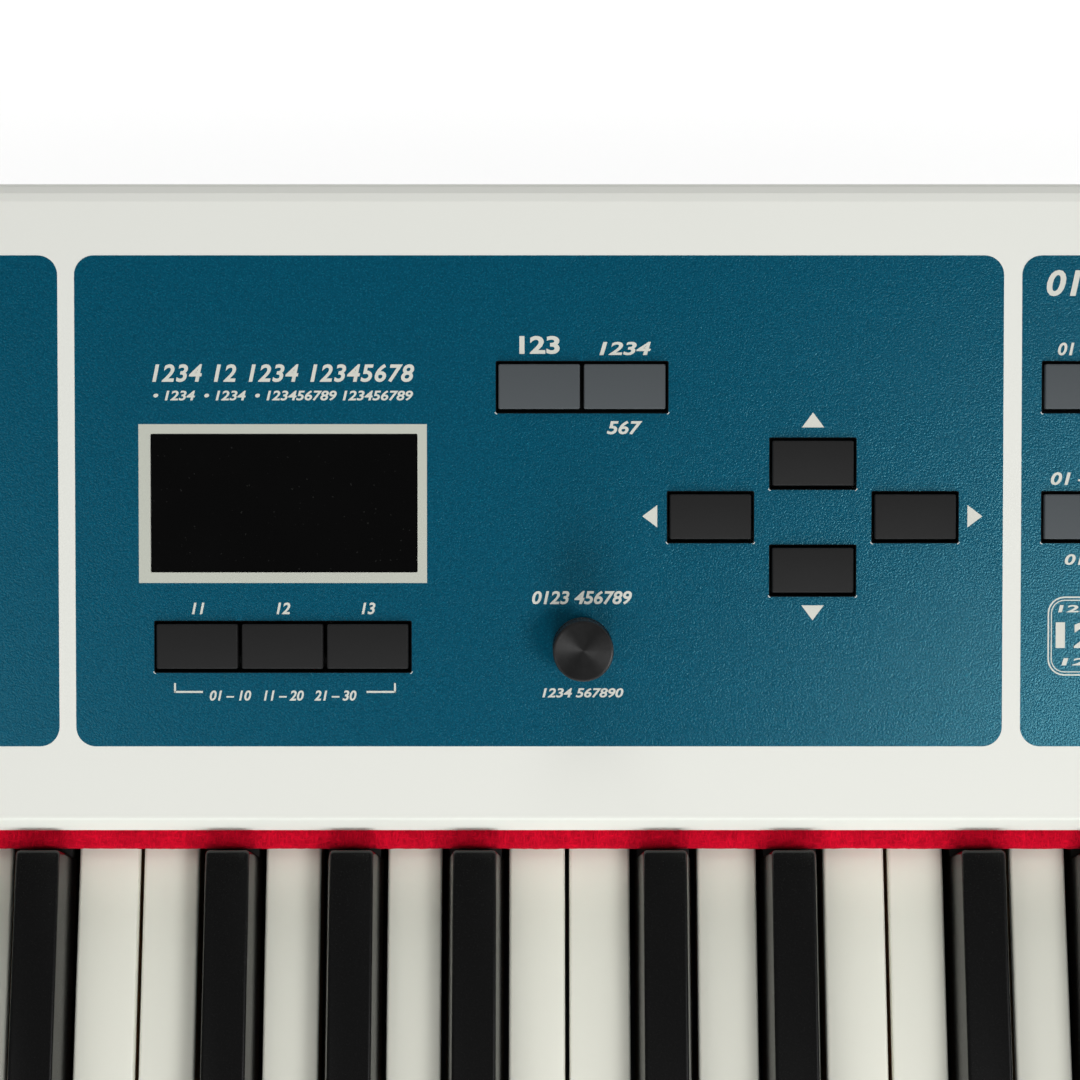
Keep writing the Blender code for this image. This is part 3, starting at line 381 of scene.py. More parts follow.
def turned_metal(name, rgb, spot):
    """A turned face with circles round a place on the panel."""
    made, tree, shader = start_material(name)
    base, place = colour(*rgb), object_place(tree)
    axis = PANEL_TILT @ Vector((0, 0, 1))
    from_middle = vector_maths(tree, "SUBTRACT", place, PANEL @ Vector((*spot, 0)))
    around = vector_maths(tree, "CROSS_PRODUCT", axis, from_middle)
    outward = vector_maths(tree, "CROSS_PRODUCT", around, axis)
    rings = maths(tree, "SINE", maths(tree, "MULTIPLY", length_of(tree, around), RING_WAVES))
    breakup = noise_of(tree, place, 900, 2)
    fill(shader, {
        "Base Color": blended(tree, mapped(tree, breakup, *MOST_NOISE), shaded(base, 0.85), base),
        "Normal": bumped(tree, maths(tree, "MULTIPLY", rings, breakup), 1, 0.5),
        "Tangent": vector_maths(tree, "NORMALIZE", outward),
        "Metallic": 0.6,
        "Roughness": 0.32,
        "Specular IOR Level": 0.3,
        "Anisotropic": 0.75,
    })
    return made


def board_material():
    made, tree, shader = start_material("circuit_board")
    tones = {"Color1": (0, 0, 0, 1), "Color2": (0.15, 0.15, 0.15, 1), "Mortar": WHITE}
    grid = {"Vector": object_place(tree), "Scale": 60, "Mortar Size": 0.03}
    tracks = add_node(tree, "TexBrick", {**grid, **tones})
    tint = blended(tree, tracks.outputs["Color"], colour(7, 13, 11), colour(24, 34, 29))
    fill(shader, {"Base Color": tint, "Roughness": 0.35, "Coat Weight": 0.3})
    return made


def glass_material():
    made, tree, shader = start_material("display_glass")
    effect = effect_of(tree, FINE_GRAIN, Grain=60, Specks=1300)
    dust = mapped(tree, effect["Speck"], 0.75, 1, 0, 0.12)
    fill(shader, {
        "Base Color": blended(tree, dust, colour(6, 6, 6), colour(90, 90, 88)),
        "Roughness": mapped(tree, effect["Height"], 0, 1, 0.05, 0.16),
        "Specular IOR Level": 0.35,
    })
    return made


PANEL_COAT = moulded("panel_coat", (233, 234, 227), 0.7, 1300, 10, 0.015, gloss=0.15)
LIP_PAINTED_LIGHT_COAT = panel_and_lip_coat()
CASE_COAT = moulded("case_plastic", (225, 225, 217), 0.5, 2200, 12, 0.015, gloss=0.2)
# The teal's relief gets painted shade and light, and its small light spots are painted glints.
TEAL_LOOK = {"painted_peel_shading": 0.2, "painted_glint_colour": (0, 135, 160), "tint": (0.35, 0.9, 1, 1)}
TEAL_PRINT = moulded("teal_print", (0, 73, 97), 0.25, 2500, 55, 0.04, 0.03, 1, **TEAL_LOOK)
WHITE_PRINT = moulded("white_print", (214, 215, 205), 0.5, 1800, 8, 0.02)
FRAME_PRINT = moulded("frame_print", (193, 196, 184), 0.5, 1800, 8, 0.02)
GREY_PRINT = moulded("grey_print", (70, 74, 76), 0.5, 1800, 8, 0.02)
BLACK_CAP = moulded("black_button", (25, 25, 25), 0.6, 3200, 7, 0.05, gloss=0.22)
GREY_CAP = moulded("grey_button", (76, 81, 84), 0.6, 3200, 7, 0.04, gloss=0.25)
KNOB_SIDE = moulded("knob_side", (24, 24, 25), 0.42, 3000, 8, 0.05, gloss=0.3)
WHEEL_RUBBER = moulded("wheel_rubber", (30, 31, 32), 0.6, 2600, 16, 0.06)
KEY_IVORY = moulded("key_ivory", (243, 243, 230), 0.34, 900, 1, 0.01, 0.02, gloss=0.3)
# The key fronts' ivory, darker than the tops: painted shade.
KEY_FRONT_PAINTED_SHADE = moulded("key_front_painted_shade", (226, 225, 211), 0.4, 900, 1, 0.01, 0.02, gloss=0.3)
KEY_EBONY = moulded("key_ebony", (10, 10, 10), 0.26, 2600, 1, 0.05, 0.02)
TRAY_PAINT = moulded("tray_paint", (30, 30, 31), 0.55, 1500, 20, 0.05)
FOOT_RUBBER = moulded("foot_rubber", (28, 28, 28), 0.8, 1800, 30, 0.08)
SOCKET_PLASTIC = moulded("socket_plastic", (26, 26, 27), 0.5, 2400, 10, 0.06)
# Black on the openings' edges: painted shade.
GAP_PAINTED_SHADE = moulded("opening_painted_shade", (8, 8, 8), 0.8, 2500, 4, 0.05, gloss=0.1)
# Light grey: unpainted metal at the openings' lower corners, and a painted glint there.
BARE_METAL_GLINT = moulded("bare_edge_glint", (196, 202, 200), 0.4, 3000, 4, 0.1)
FELT = felt_material()
KEY_WOOD = wood_material("key_wood", (170, 122, 78), (222, 180, 132))
EBONISED_WOOD = wood_material("ebonised_wood", (8, 8, 8), (20, 19, 18))
GLASS = glass_material()
BOARD = board_material()
ZINC = rolled_metal("zinc_steel", (178, 180, 182), 0.42)
NICKEL = rolled_metal("nickel_nut", (196, 196, 192), 0.25, 4000, 400)
BRASS = rolled_metal("brass_contact", (200, 168, 96), 0.3, 4000, 400)
SCREW_STEEL = rolled_metal("screw_steel", (120, 122, 124), 0.35, 5000, 900)
DATA_FACE = turned_metal("data_knob_face", (44, 44, 44), DATA_KNOB)
VOLUME_FACE = turned_metal("volume_knob_face", (50, 50, 50), VOLUME_KNOB)
WHITE_KEY_LOOKS = [KEY_IVORY, KEY_WOOD, KEY_FRONT_PAINTED_SHADE]
BLACK_KEY_LOOKS = [KEY_EBONY, EBONISED_WOOD]
# Screw steel, and dark paint for the painted shade of the screws' cross.
SCREW_LOOKS = [SCREW_STEEL, TRAY_PAINT]


# Modelling helpers


def new_mesh(name, shape, place=IDENTITY):
    """A bmesh as a mesh, set in place."""
    bmesh.ops.transform(shape, matrix=place, verts=shape.verts)
    mesh = bpy.data.meshes.new(name)
    shape.to_mesh(mesh)
    shape.free()
    return mesh


def new_object(name, data):
    made = bpy.data.objects.new(name, data)
    bpy.context.scene.collection.objects.link(made)
    return made


def finish_piece(
    name, shape, looks, body="chassis", stands_for=None, place=IDENTITY, angle=35
):
    """A bmesh as a piece that rides on a body."""
    mesh = new_mesh(name, shape, place)
    for material in looks:
        mesh.materials.append(material)
    mesh.shade_smooth()
    mesh.set_sharp_from_angle(angle=math.radians(angle))
    made = new_object(name, mesh)
    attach(made, body)
    if stands_for:
        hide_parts(stands_for)
    return made


def add_part(shape, part, place):
    """Adds one bmesh to another, set in place."""
    mesh = new_mesh("part", part, place)
    shape.from_mesh(mesh)
    bpy.data.meshes.remove(mesh)


def round_edges(shape, edges, width, steps=3):
    more = {"affect": "EDGES", "profile": 0.5, "material": -1, "clamp_overlap": True}
    bmesh.ops.bevel(shape, geom=edges, offset=width, segments=steps, **more)


def uprights(verts):
    """A box's upright edges."""
    edges = {edge for vertex in verts for edge in vertex.link_edges}
    return [edge for edge in edges if abs(edge.verts[0].co.z - edge.verts[1].co.z) > 0.002]


def rim_at(shape, level, middle=0, half=math.inf):
    """The edges at a level, near a middle along X."""
    chosen = {v for v in shape.verts if abs(v.co.z - level) < 1e-6 and abs(v.co.x - middle) < half}
    return [edge for edge in shape.edges if chosen.issuperset(edge.verts)]


def add_box(shape, low, high, material=0, place=IDENTITY):
    """A box from its low and high corner."""
    low, high = Vector(low), Vector(high)
    stretch = Matrix.Translation((low + high) / 2) @ Matrix.Diagonal((*(high - low), 1))
    made = bmesh.ops.create_cube(shape, size=1, matrix=place @ stretch)["verts"]
    for face in {face for vertex in made for face in vertex.link_faces}:
        face.material_index = material
    return made


def about(x, y, half_x, half_y, low, high):
    """The corners of a box about a middle, between two levels."""
    return (x - half_x, y - half_y, low), (x + half_x, y + half_y, high)


def add_drawn(shape, points, move, material=0):
    """A flat outline drawn out along a vector."""
    base = [shape.verts.new(point) for point in points]
    drawn = bmesh.ops.extrude_face_region(shape, geom=[shape.faces.new(base)])["geom"]
    far = [part for part in drawn if isinstance(part, bmesh.types.BMVert)]
    bmesh.ops.translate(shape, verts=far, vec=move)
    sides = list({side for vertex in (*base, *far) for side in vertex.link_faces})
    bmesh.ops.recalc_face_normals(shape, faces=sides)
    for side in sides:
        side.material_index = material


def add_turned(shape, profile, steps, place=IDENTITY, material=0, closed=False):
    """A profile of (radius, height) spun round Z."""
    verts = [shape.verts.new((radius, 0, height)) for radius, height in profile]
    edges = [shape.edges.new(pair) for pair in zip(verts, verts[1:])]
    if closed:
        edges.append(shape.edges.new((verts[-1], verts[0])))
    before = set(shape.faces)
    turn = {"cent": (0, 0, 0), "axis": (0, 0, 1), "angle": math.tau}
    bmesh.ops.spin(shape, geom=verts + edges, steps=steps, use_merge=True, **turn)
    made = {vertex for face in shape.faces if face not in before for vertex in face.verts}
    bmesh.ops.remove_doubles(shape, verts=list(made), dist=1e-7)
    faces = [face for face in shape.faces if face not in before]
    bmesh.ops.recalc_face_normals(shape, faces=faces)
    for face in faces:
        face.material_index = material
    bmesh.ops.transform(shape, matrix=place, verts=list({vertex for face in faces for vertex in face.verts}))


def on_panel(u, v, w=0):
    """A place on the control panel."""
    return PANEL @ Matrix.Translation((u, v, w))


def facing_rear(x, z=SOCKET_Z):
    """A place on the rear, its Z pointing out."""
    return Matrix.Translation((x, REAR_FACE, z)) @ Matrix.Rotation(-math.pi / 2, 4, "X")


def read_from_rear(x, z=SOCKET_Z):
    """A place on the rear where numbers read from behind."""
    return facing_rear(x, z) @ Matrix.Rotation(math.pi, 4, "Z")


def facing_down(x, y, z):
    """A place on the underside, its Z pointing down."""
    return Matrix.Translation((x, y, z)) @ Matrix.Rotation(math.pi, 4, "X")


def rectangle(low_x, low_y, high_x, high_y):
    return [(low_x, low_y), (high_x, low_y), (high_x, high_y), (low_x, high_y)]


def arc(centre_x, centre_y, radius, start, sweep, steps):
    """Points along an arc, in degrees."""
    turns = [math.radians(start + sweep * step / steps) for step in range(steps + 1)]
    return [(centre_x + radius * math.cos(turn), centre_y + radius * math.sin(turn)) for turn in turns]


def circle(centre_x, centre_y, radius, steps=32):
    return arc(centre_x, centre_y, radius, 0, 360, steps)[:-1]


def rounded_rectangle(low_x, low_y, high_x, high_y, radius, steps=6):
    middles = rectangle(low_x + radius, low_y + radius, high_x - radius, high_y - radius)
    points = []
    for index, (x, y) in enumerate(middles[2:] + middles[:2]):
        points += arc(x, y, radius, 90 * index, 90, steps)
    return points


def rounded_about(x, y, half_x, half_y, radius, steps):
    """A rounded rectangle about its middle."""
    return rounded_rectangle(x - half_x, y - half_y, x + half_x, y + half_y, radius, steps)


def mesh_of(curve, level):
    """The mesh of a flat curve or text at a level."""
    drawn = new_object("drawn", curve)
    bpy.context.view_layer.update()
    mesh = bpy.data.meshes.new_from_object(drawn.evaluated_get(bpy.context.evaluated_depsgraph_get()))
    bpy.data.objects.remove(drawn)
    mesh.transform(Matrix.Translation((0, 0, level)))
    return mesh


def add_mesh(shape, mesh, place):
    """Adds a mesh, welded and set in place."""
    part = bmesh.new()
    part.from_mesh(mesh)
    bpy.data.meshes.remove(mesh)
    bmesh.ops.remove_doubles(part, verts=part.verts, dist=1e-7)
    bmesh.ops.recalc_face_normals(part, faces=part.faces)
    add_part(shape, part, place)


def add_flat(shape, outlines, low, high, place=PANEL):
    """Flat outlines with holes, solid between two levels."""
    curve = bpy.data.curves.new("outline", "CURVE")
    curve.dimensions = "2D"
    curve.fill_mode = "BOTH"
    curve.extrude = (high - low) / 2
    for points in outlines:
        spline = curve.splines.new("POLY")
        spline.points.add(len(points) - 1)
        for point, (x, y) in zip(spline.points, points):
            point.co = (x, y, 0, 1)
        spline.use_cyclic_u = True
    add_mesh(shape, mesh_of(curve, (low + high) / 2), place)


def add_mark(shape, outlines, place=PANEL):
    """Flat outlines as print."""
    add_flat(shape, outlines, *MARK_LEVELS, place)


def add_number(
    shape, text, x, y, height, width=None, lean=0.2, weight=0.035, spacing=1, place=PANEL, levels=MARK_LEVELS
):
    """Plain numbers about a place, drawn out to a width if given."""
    words = bpy.data.curves.new("number", "FONT")
    words.body = text
    words.size = height / FIGURE_SHARE
    words.align_x = words.align_y = "CENTER"
    words.shear = lean
    words.offset = weight * height
    words.space_character = spacing
    words.resolution_u = 4
    words.extrude = (levels[1] - levels[0]) / 2
    mesh = mesh_of(words, sum(levels) / 2)
    along = [vertex.co.x for vertex in mesh.vertices]
    centre = (min(along) + max(along)) / 2
    stretch = width / (max(along) - min(along)) if width else 1
    centred = Matrix.Diagonal((stretch, 1, 1, 1)) @ Matrix.Translation((-centre, 0, 0))
    mesh.transform(Matrix.Translation((x, y, 0)) @ centred)
    add_mesh(shape, mesh, place)


# Keys and felt


def letter(white):
    return "ABCDEFG"[white % 7]


def note(white):
    """The note name and octave of a white key."""
    return f"{letter(white)}{(white + 5) // 7}"


def edge_of(white):
    """X of the line before a white key."""
    return -BLOCK_EDGE + white * KEY_PITCH


def black_after(white):
    """X of the black key after a white key, or None."""
    shift = BLACK_SHIFT.get(letter(white))
    if shift is None or not 0 <= white < WHITE_COUNT - 1:
        return None
    return edge_of(white + 1) + shift


def white_sides(white, inset=0):
    """X of a white key's sides."""
    return edge_of(white) + KEY_GAP / 2 + inset, edge_of(white + 1) - KEY_GAP / 2 - inset


def white_outline(white, level, inset=0):
    """A white key's plan at a level."""
    left, right = white_sides(white, inset)
    before, after = black_after(white - 1), black_after(white)
    front, head = KEY_FRONT + inset, HEAD_END - inset
    path = [(left, KEY_END)]
    if before is not None:
        waist = before + NOTCH_WIDTH / 2 + inset
        path = [(waist, KEY_END), (waist, head), (left, head)]
    path += [(left, front), (right, front)]
    if after is None:
        path += [(right, KEY_END)]
    else:
        waist = after - NOTCH_WIDTH / 2 - inset
        path += [(right, head), (waist, head), (waist, KEY_END)]
    return [(x, y, level) for x, y in path]


def add_white_key(shape, white):
    """A white key: an ivory cover and front plate on a wooden stick."""
    add_drawn(shape, white_outline(white, COVER_LOW), (0, 0, KEY_TOP - COVER_LOW))
    middle = (edge_of(white) + edge_of(white + 1)) / 2
    rim = rim_at(shape, KEY_TOP, middle, KEY_PITCH * 0.55)
    rim = [edge for edge in rim if any(abs(side.normal.z) < 0.5 for side in edge.link_faces)]
    round_edges(shape, rim, 0.0007)
    left, right = white_sides(white)
    low = (left, KEY_FRONT + PLATE_SETBACK, KEY_LOW + 0.0006)
    # The front plate takes the darker ivory: painted shade.
    plate = add_box(shape, low, (right, KEY_FRONT + PLATE_THICK, COVER_LOW + 0.0004), 2)
    round_edges(shape, uprights(plate), 0.0007)
    add_drawn(shape, white_outline(white, KEY_LOW, STICK_INSET), (0, 0, COVER_LOW - KEY_LOW), 1)


def add_black_key(shape, middle):
    """A black key: a tapered cap on a stick."""
    half = BLACK_WIDTH / 2
    verts = add_box(shape, (middle - half, BLACK_FRONT, BLACK_LOW), (middle + half, BLACK_REAR, BLACK_TOP))
    for vertex in verts:
        if vertex.co.z > KEY_TOP:
            side = -1 if vertex.co.x < middle else 1
            vertex.co.x = middle + side * BLACK_TOP_WIDTH / 2
            vertex.co.y += BLACK_SLANT if vertex.co.y < 0 else -BLACK_REAR_SLANT
    round_edges(shape, uprights(verts), 0.0009)
    round_edges(shape, rim_at(shape, BLACK_TOP, middle, half), 0.0006)
    half -= BLACK_STICK_INSET
    low = (middle - half, BLACK_FRONT + 0.0008, KEY_LOW)
    add_box(shape, low, (middle + half, KEY_END, KEY_TOP - 0.0002), 1)


def make_keys():
    first, last = SINGLE_KEYS
    for white in range(first, last + 1):
        name = f"key_{note(white)}"
        shape = bmesh.new()
        add_white_key(shape, white)
        finish_piece(f"{name}_dressed", shape, WHITE_KEY_LOOKS, name, name)
        middle = black_after(white)
        if middle is not None:
            shape = bmesh.new()
            add_black_key(shape, middle)
            sharp = f"{name}_sharp"
            finish_piece(f"{sharp}_dressed", shape, BLACK_KEY_LOOKS, sharp, sharp)
    for first, last in KEY_GROUPS:
        body = f"keys_{note(first)}_to_{note(last)}"
        whites, blacks = bmesh.new(), bmesh.new()
        for white in range(first, last + 1):
            add_white_key(whites, white)
            middle = black_after(white)
            if middle is not None:
                add_black_key(blacks, middle)
        finish_piece(f"{body}_white", whites, WHITE_KEY_LOOKS, body, body)
        finish_piece(f"{body}_black", blacks, BLACK_KEY_LOOKS, body)


def make_felt():
    """The felt strip with its uneven front edge."""
    shape = bmesh.new()
    add_box(shape, (-SPAN, FELT_FRONT, FELT_LOW), (SPAN, FELT_REAR, FELT_TOP))
    long = [edge for edge in shape.edges if edge.calc_length() > SPAN]
    front = [edge for edge in long if all(v.co.y < FELT_FRONT + 1e-5 for v in edge.verts)]
    round_edges(shape, front, (FELT_TOP - FELT_LOW) * 0.34)
    long = [edge for edge in shape.edges if edge.calc_length() > SPAN]
    bmesh.ops.subdivide_edges(shape, edges=long, cuts=FELT_STEPS, use_grid_fill=True)
    for vertex in shape.verts:
        x, y, z = vertex.co
        if y < FELT_UNEVEN_REAR and abs(x) < SPAN - 1e-4:
            wander = noise.noise(Vector((x * 60, 3.1, z * 90))) * 0.00012
            fuzz = noise.noise(Vector((x * 900, 7.7, z * 1200))) * 0.00011
            swell = noise.noise(Vector((x * 500, y * 900, 1.7))) * 0.00007
            vertex.co.y += wander + fuzz
            vertex.co.z += swell if z < FELT_TOP - 0.0001 else min(swell, 0)
    return finish_piece("felt_strip_matted", shape, [FELT], "chassis", "felt_strip", angle=80)


# Control panel print


def recess_box(spots, grow):
    """The extent of a row's opening."""
    half_x, half_y = (BUTTON_SIZE[i] / 2 + BUTTON_MARGIN[i] + grow for i in (0, 1))
    xs, ys = zip(*spots)
    return min(xs) - half_x, min(ys) - half_y, max(xs) + half_x, max(ys) + half_y


def recess(spots):
    """The print's opening round a row of buttons."""
    return rounded_rectangle(*recess_box(spots, 0.00003), 0.00025, 2)


def slot_outline(x, y, width, length):
    """The print's opening round a slot."""
    return rounded_about(x, y, width / 2 + 0.00005, length / 2 + 0.00005, 0.0002, 2)


def make_liners():
    """Painted shade: black rings lining the button openings' edges. Light quarter rings at their lower
    corners: unpainted metal, with a painted glint.
    """
    gap_shade_rings, bare_metal_glints = bmesh.new(), bmesh.new()
    corner, bright = 0.00034, 0.00054
    for row in (FUNCTION_ROW, MENU_ROW, SOUND_ROW, MEMORY_ROW, *([spot] for spot in ARROWS.values())):
        outer, inner = recess_box(row, 0.00007), recess_box(row, -0.00012)
        ring = [rounded_rectangle(*outer, 0.00032, 4), rounded_rectangle(*inner, 0.00022, 4)]
        # Painted shade: a black ring down each opening's edge and just over the print round it.
        add_flat(gap_shade_rings, ring, -0.0012, MARK_LEVELS[1])
        # Light quarter rings at the two lower corners only: unpainted metal and a painted glint.
        for x, start in ((outer[0] + corner, 180), (outer[2] - corner, 270)):
            centre = (x, outer[1] + corner)
            band = arc(*centre, bright, start, 90, 8) + arc(*centre, corner, start + 90, -90, 8)
            add_flat(bare_metal_glints, [band], MARK_LEVELS[0], PRINT_THICK + 0.000025)
    finish_piece("opening_gap_shade_rings", gap_shade_rings, [GAP_PAINTED_SHADE])
    finish_piece("bare_corner_glints", bare_metal_glints, [BARE_METAL_GLINT])


def make_blocks():
    """The teal blocks and the display's border."""
    wheel_length = 2 * math.sqrt(WHEEL_RADIUS**2 - WHEEL_SINK**2) + 0.0024
    slider_middle = SLIDER_LOW + SLIDER_TRAVEL / 2
    window = rounded_rectangle(*SCREEN, 0.0003, 2)
    openings = {
        "wheel_block": [slot_outline(x, WHEEL_AT, WHEEL_WIDTH + 0.0012, wheel_length) for x in WHEELS],
        "left_block": [
            *(slot_outline(x, slider_middle, 0.0024, SLIDER_TRAVEL + 0.007) for x in SLIDERS),
            circle(*VOLUME_KNOB, KNOB_OPENING),
        ],
        "main_block": [
            recess(FUNCTION_ROW),
            recess(MENU_ROW),
            *(recess([spot]) for spot in ARROWS.values()),
            circle(*DATA_KNOB, KNOB_OPENING),
            window,
        ],
        "right_block": [recess(SOUND_ROW), recess(MEMORY_ROW)],
    }
    for name, corners in BLOCKS.items():
        shape = bmesh.new()
        add_flat(shape, [rounded_rectangle(*corners, BLOCK_CORNER, 10), *openings[name]], *PRINT_LEVELS)
        finish_piece(f"{name}_print", shape, [TEAL_PRINT])
    shape = bmesh.new()
    add_mark(shape, [rectangle(*SCREEN_FRAME), window])
    finish_piece("display_border", shape, [FRAME_PRINT])


def make_main_marks():
    shape = bmesh.new()
    for row in MAIN_NUMBERS:
        add_number(shape, *row)
    for (x, _), text in zip(FUNCTION_ROW, ("11", "12", "13")):
        add_number(shape, text, x + 0.0001, 0.0452, 0.0024)
    for outer, inner, side in ((-0.1552, -0.149, BRACKET_THICK), (-0.1076, -0.1139, -BRACKET_THICK)):
        add_mark(shape, [rectangle(outer, BRACKET_LINE, inner, BRACKET_LINE + BRACKET_THICK)])
        add_mark(shape, [rectangle(outer, BRACKET_LINE, outer + side, BRACKET_TOP)])
    arrow = [(-ARROW_HALF, 0), (ARROW_HALF, 0), (0, ARROW_TALL)]
    for x, y, turn in ARROW_MARKS:
        add_mark(shape, [arrow], on_panel(x, y) @ Matrix.Rotation(math.radians(turn), 4, "Z"))
    finish_piece("main_block_marks", shape, [WHITE_PRINT])


def make_right_marks():
    shape = bmesh.new()
    for row in RIGHT_NUMBERS:
        add_number(shape, *row)
    for row, y, width in ((SOUND_ROW, 0.1007, 0.0118), (MEMORY_ROW, 0.073, 0.0146)):
        for index, (x, _) in enumerate(row):
            add_number(shape, f"{index}1 – {index + 1}0", x, y, 0.0026, width)
    x0, y0, x1, y1 = BADGE
    for inset, thick in ((0, 0.00032), (0.0007, 0.00022)):
        gaps = (inset, inset + thick)
        add_mark(shape, [rounded_rectangle(x0 + g, y0 + g, x1 - g, y1 - g, BADGE_CORNER - g) for g in gaps])
    finish_piece("right_block_marks", shape, [WHITE_PRINT])


def make_left_marks():
    """Scales of the sliders and the volume knob, numbers of the wheels."""
    shape = bmesh.new()
    side_step, half_line = 0.0075, 0.00015
    for x, text in zip(SLIDERS, "123"):
        add_number(shape, text, x, 0.0385, 0.0031)
        for step in range(11):
            y = SLIDER_LOW + SLIDER_TRAVEL * step / 10
            reach = 0.0022 if step % 5 else 0.0036
            for side in (-1, 1):
                start, end = x + side * side_step, x + side * (side_step + reach)
                add_mark(shape, [rectangle(start, y - half_line, end, y + half_line)])
        for step, offset in ((0, 0.0135), (5, 0.0135), (10, 0.014)):
            add_number(shape, str(step), x + offset, SLIDER_LOW + SLIDER_TRAVEL * step / 10, 0.0021)
    u, v = VOLUME_KNOB
    for step in range(11):
        turn = VOLUME_ZERO - VOLUME_STEP * step
        place = on_panel(u, v) @ Matrix.Rotation(turn, 4, "Z")
        add_mark(shape, [rectangle(0.0105, -0.00016, 0.0128, 0.00016)], place)
        if step % 5 == 0:
            add_number(shape, str(step), u + 0.0154 * math.cos(turn), v + 0.0154 * math.sin(turn), 0.0021)
    finish_piece("left_block_marks", shape, [WHITE_PRINT])
    shape = bmesh.new()
    for x, text in zip(WHEELS, "12"):
        add_number(shape, text, x, 0.1, 0.0026)
    finish_piece("wheel_block_marks", shape, [WHITE_PRINT])


# Buttons, knobs, sliders and wheels


def make_button(name, node, spots, material):
    """Button caps on their stems."""
    shape = bmesh.new()
    half_x, half_y = BUTTON_SIZE[0] / 2, BUTTON_SIZE[1] / 2
    for x, y in spots:
        x, y = x + CAP_SHIFT[0], y + CAP_SHIFT[1]
        verts = add_box(shape, *about(x, y, half_x, half_y, -BUTTON_SINK, BUTTON_RISE))
        round_edges(shape, uprights(verts), 0.00035)
        round_edges(shape, rim_at(shape, BUTTON_RISE, x, half_x + 1e-4), 0.0003)
        add_box(shape, *about(x, y, STEM_HALF, STEM_HALF, STEM_END, -BUTTON_SINK + 0.0002))
    finish_piece(name, shape, [material], node, node, PANEL)


def make_buttons():
    for index, spot in enumerate(FUNCTION_ROW, 1):
        make_button(f"f{index}_cap", f"f{index}_button", [spot], BLACK_CAP)
    for node, spot in ARROWS.items():
        make_button(f"{node}_cap", node, [spot], BLACK_CAP)
    for index, spot in enumerate(MENU_ROW, 1):
        make_button(f"menu_cap_{index}", f"menu_button_{index}", [spot], GREY_CAP)
    for label, row in (("sound", SOUND_ROW), ("memory", MEMORY_ROW)):
        make_button(f"{label}_cap_1", f"{label}_button_1", row[:1], GREY_CAP)
        make_button(f"{label}_caps_2_to_8", f"{label}_bank", row[1:], GREY_CAP)


def move_out(vertex, amount):
    """Moves a vertex away from the Z axis."""
    factor = 1 + amount / math.hypot(vertex.co.x, vertex.co.y)
    vertex.co.x *= factor
    vertex.co.y *= factor


def make_knob(node, spot, radius, height, face, pointer=None):
    """A fluted knob with a turned face, its shaft and, at an angle, a pointer."""
    shape = bmesh.new()
    steps, chamfer = 96, 0.0003
    rim, groove, shaft = radius - chamfer, radius - 0.00022, 0.003
    top = [(0, height - 0.00018), (radius * 0.5, height - 0.0001), (rim - 0.0003, height), (rim, height)]
    side = [
        *((rim, height), (radius - chamfer * 0.3, height - chamfer * 0.3), (radius, height - chamfer)),
        *((radius, height - 0.0016), (groove, height - 0.0018), (groove, 0.0028), (radius, 0.0026)),
        *((radius, 0.001), (radius - 0.0003, 0.0008), (shaft, 0.0008), (shaft, -0.0078), (0, -0.0078)),
    ]
    add_turned(shape, top, steps, material=1)
    add_turned(shape, side, steps)
    bmesh.ops.remove_doubles(shape, verts=shape.verts, dist=1e-7)
    for vertex in shape.verts:
        x, y, level = vertex.co
        if 0.0027 < level < height - 0.0017 and abs(math.hypot(x, y) - groove) < 5e-5:
            if round(math.atan2(y, x) * steps / math.tau) % 2:
                move_out(vertex, 0.00018)
    if pointer is not None:
        plain = set(shape.faces)
        line = rectangle(-0.0004, radius * 0.35, 0.0004, radius - 0.0008)
        towards = Matrix.Rotation(pointer - math.pi / 2, 4, "Z")
        add_flat(shape, [line], height - 0.0003, height + 0.00005, towards)
        for face_of_line in set(shape.faces) - plain:
            face_of_line.material_index = 2
    looks = [KNOB_SIDE, face, WHITE_PRINT]
    finish_piece(f"{node}_turned", shape, looks, node, node, on_panel(*spot), 30)


def make_sliders():
    """Dished, ribbed slider caps on flat stems."""
    wide, long, low, high = 0.0055, 0.008, 0.0008, 0.0088
    dip, setback, rib, steps = 0.0016, 0.0016, 0.00016, 24
    outline = [(long, low), (-long, low)]
    for step in range(steps + 1):
        share = -1 + 2 * step / steps
        level = high - dip * (1 - share * share)
        outline.append((share * (long - setback), level - rib if step % 2 else level))
    for number, x in enumerate(SLIDERS, 1):
        shape = bmesh.new()
        points = [(x - wide, SLIDER_LOW + along, level) for along, level in outline]
        add_drawn(shape, points, (2 * wide, 0, 0))
        add_box(shape, *about(x, SLIDER_LOW, 0.0007, 0.003, -0.0061, low + 0.0004))
        line = (wide + 0.00003, 0.00035, high - dip - 0.0012, high - dip + 0.00004)
        add_box(shape, *about(x, SLIDER_LOW, *line), 1)
        node, looks = f"slider_{number}", [KNOB_SIDE, WHITE_PRINT]
        finish_piece(f"slider_cap_{number}", shape, looks, node, node, PANEL, 25)


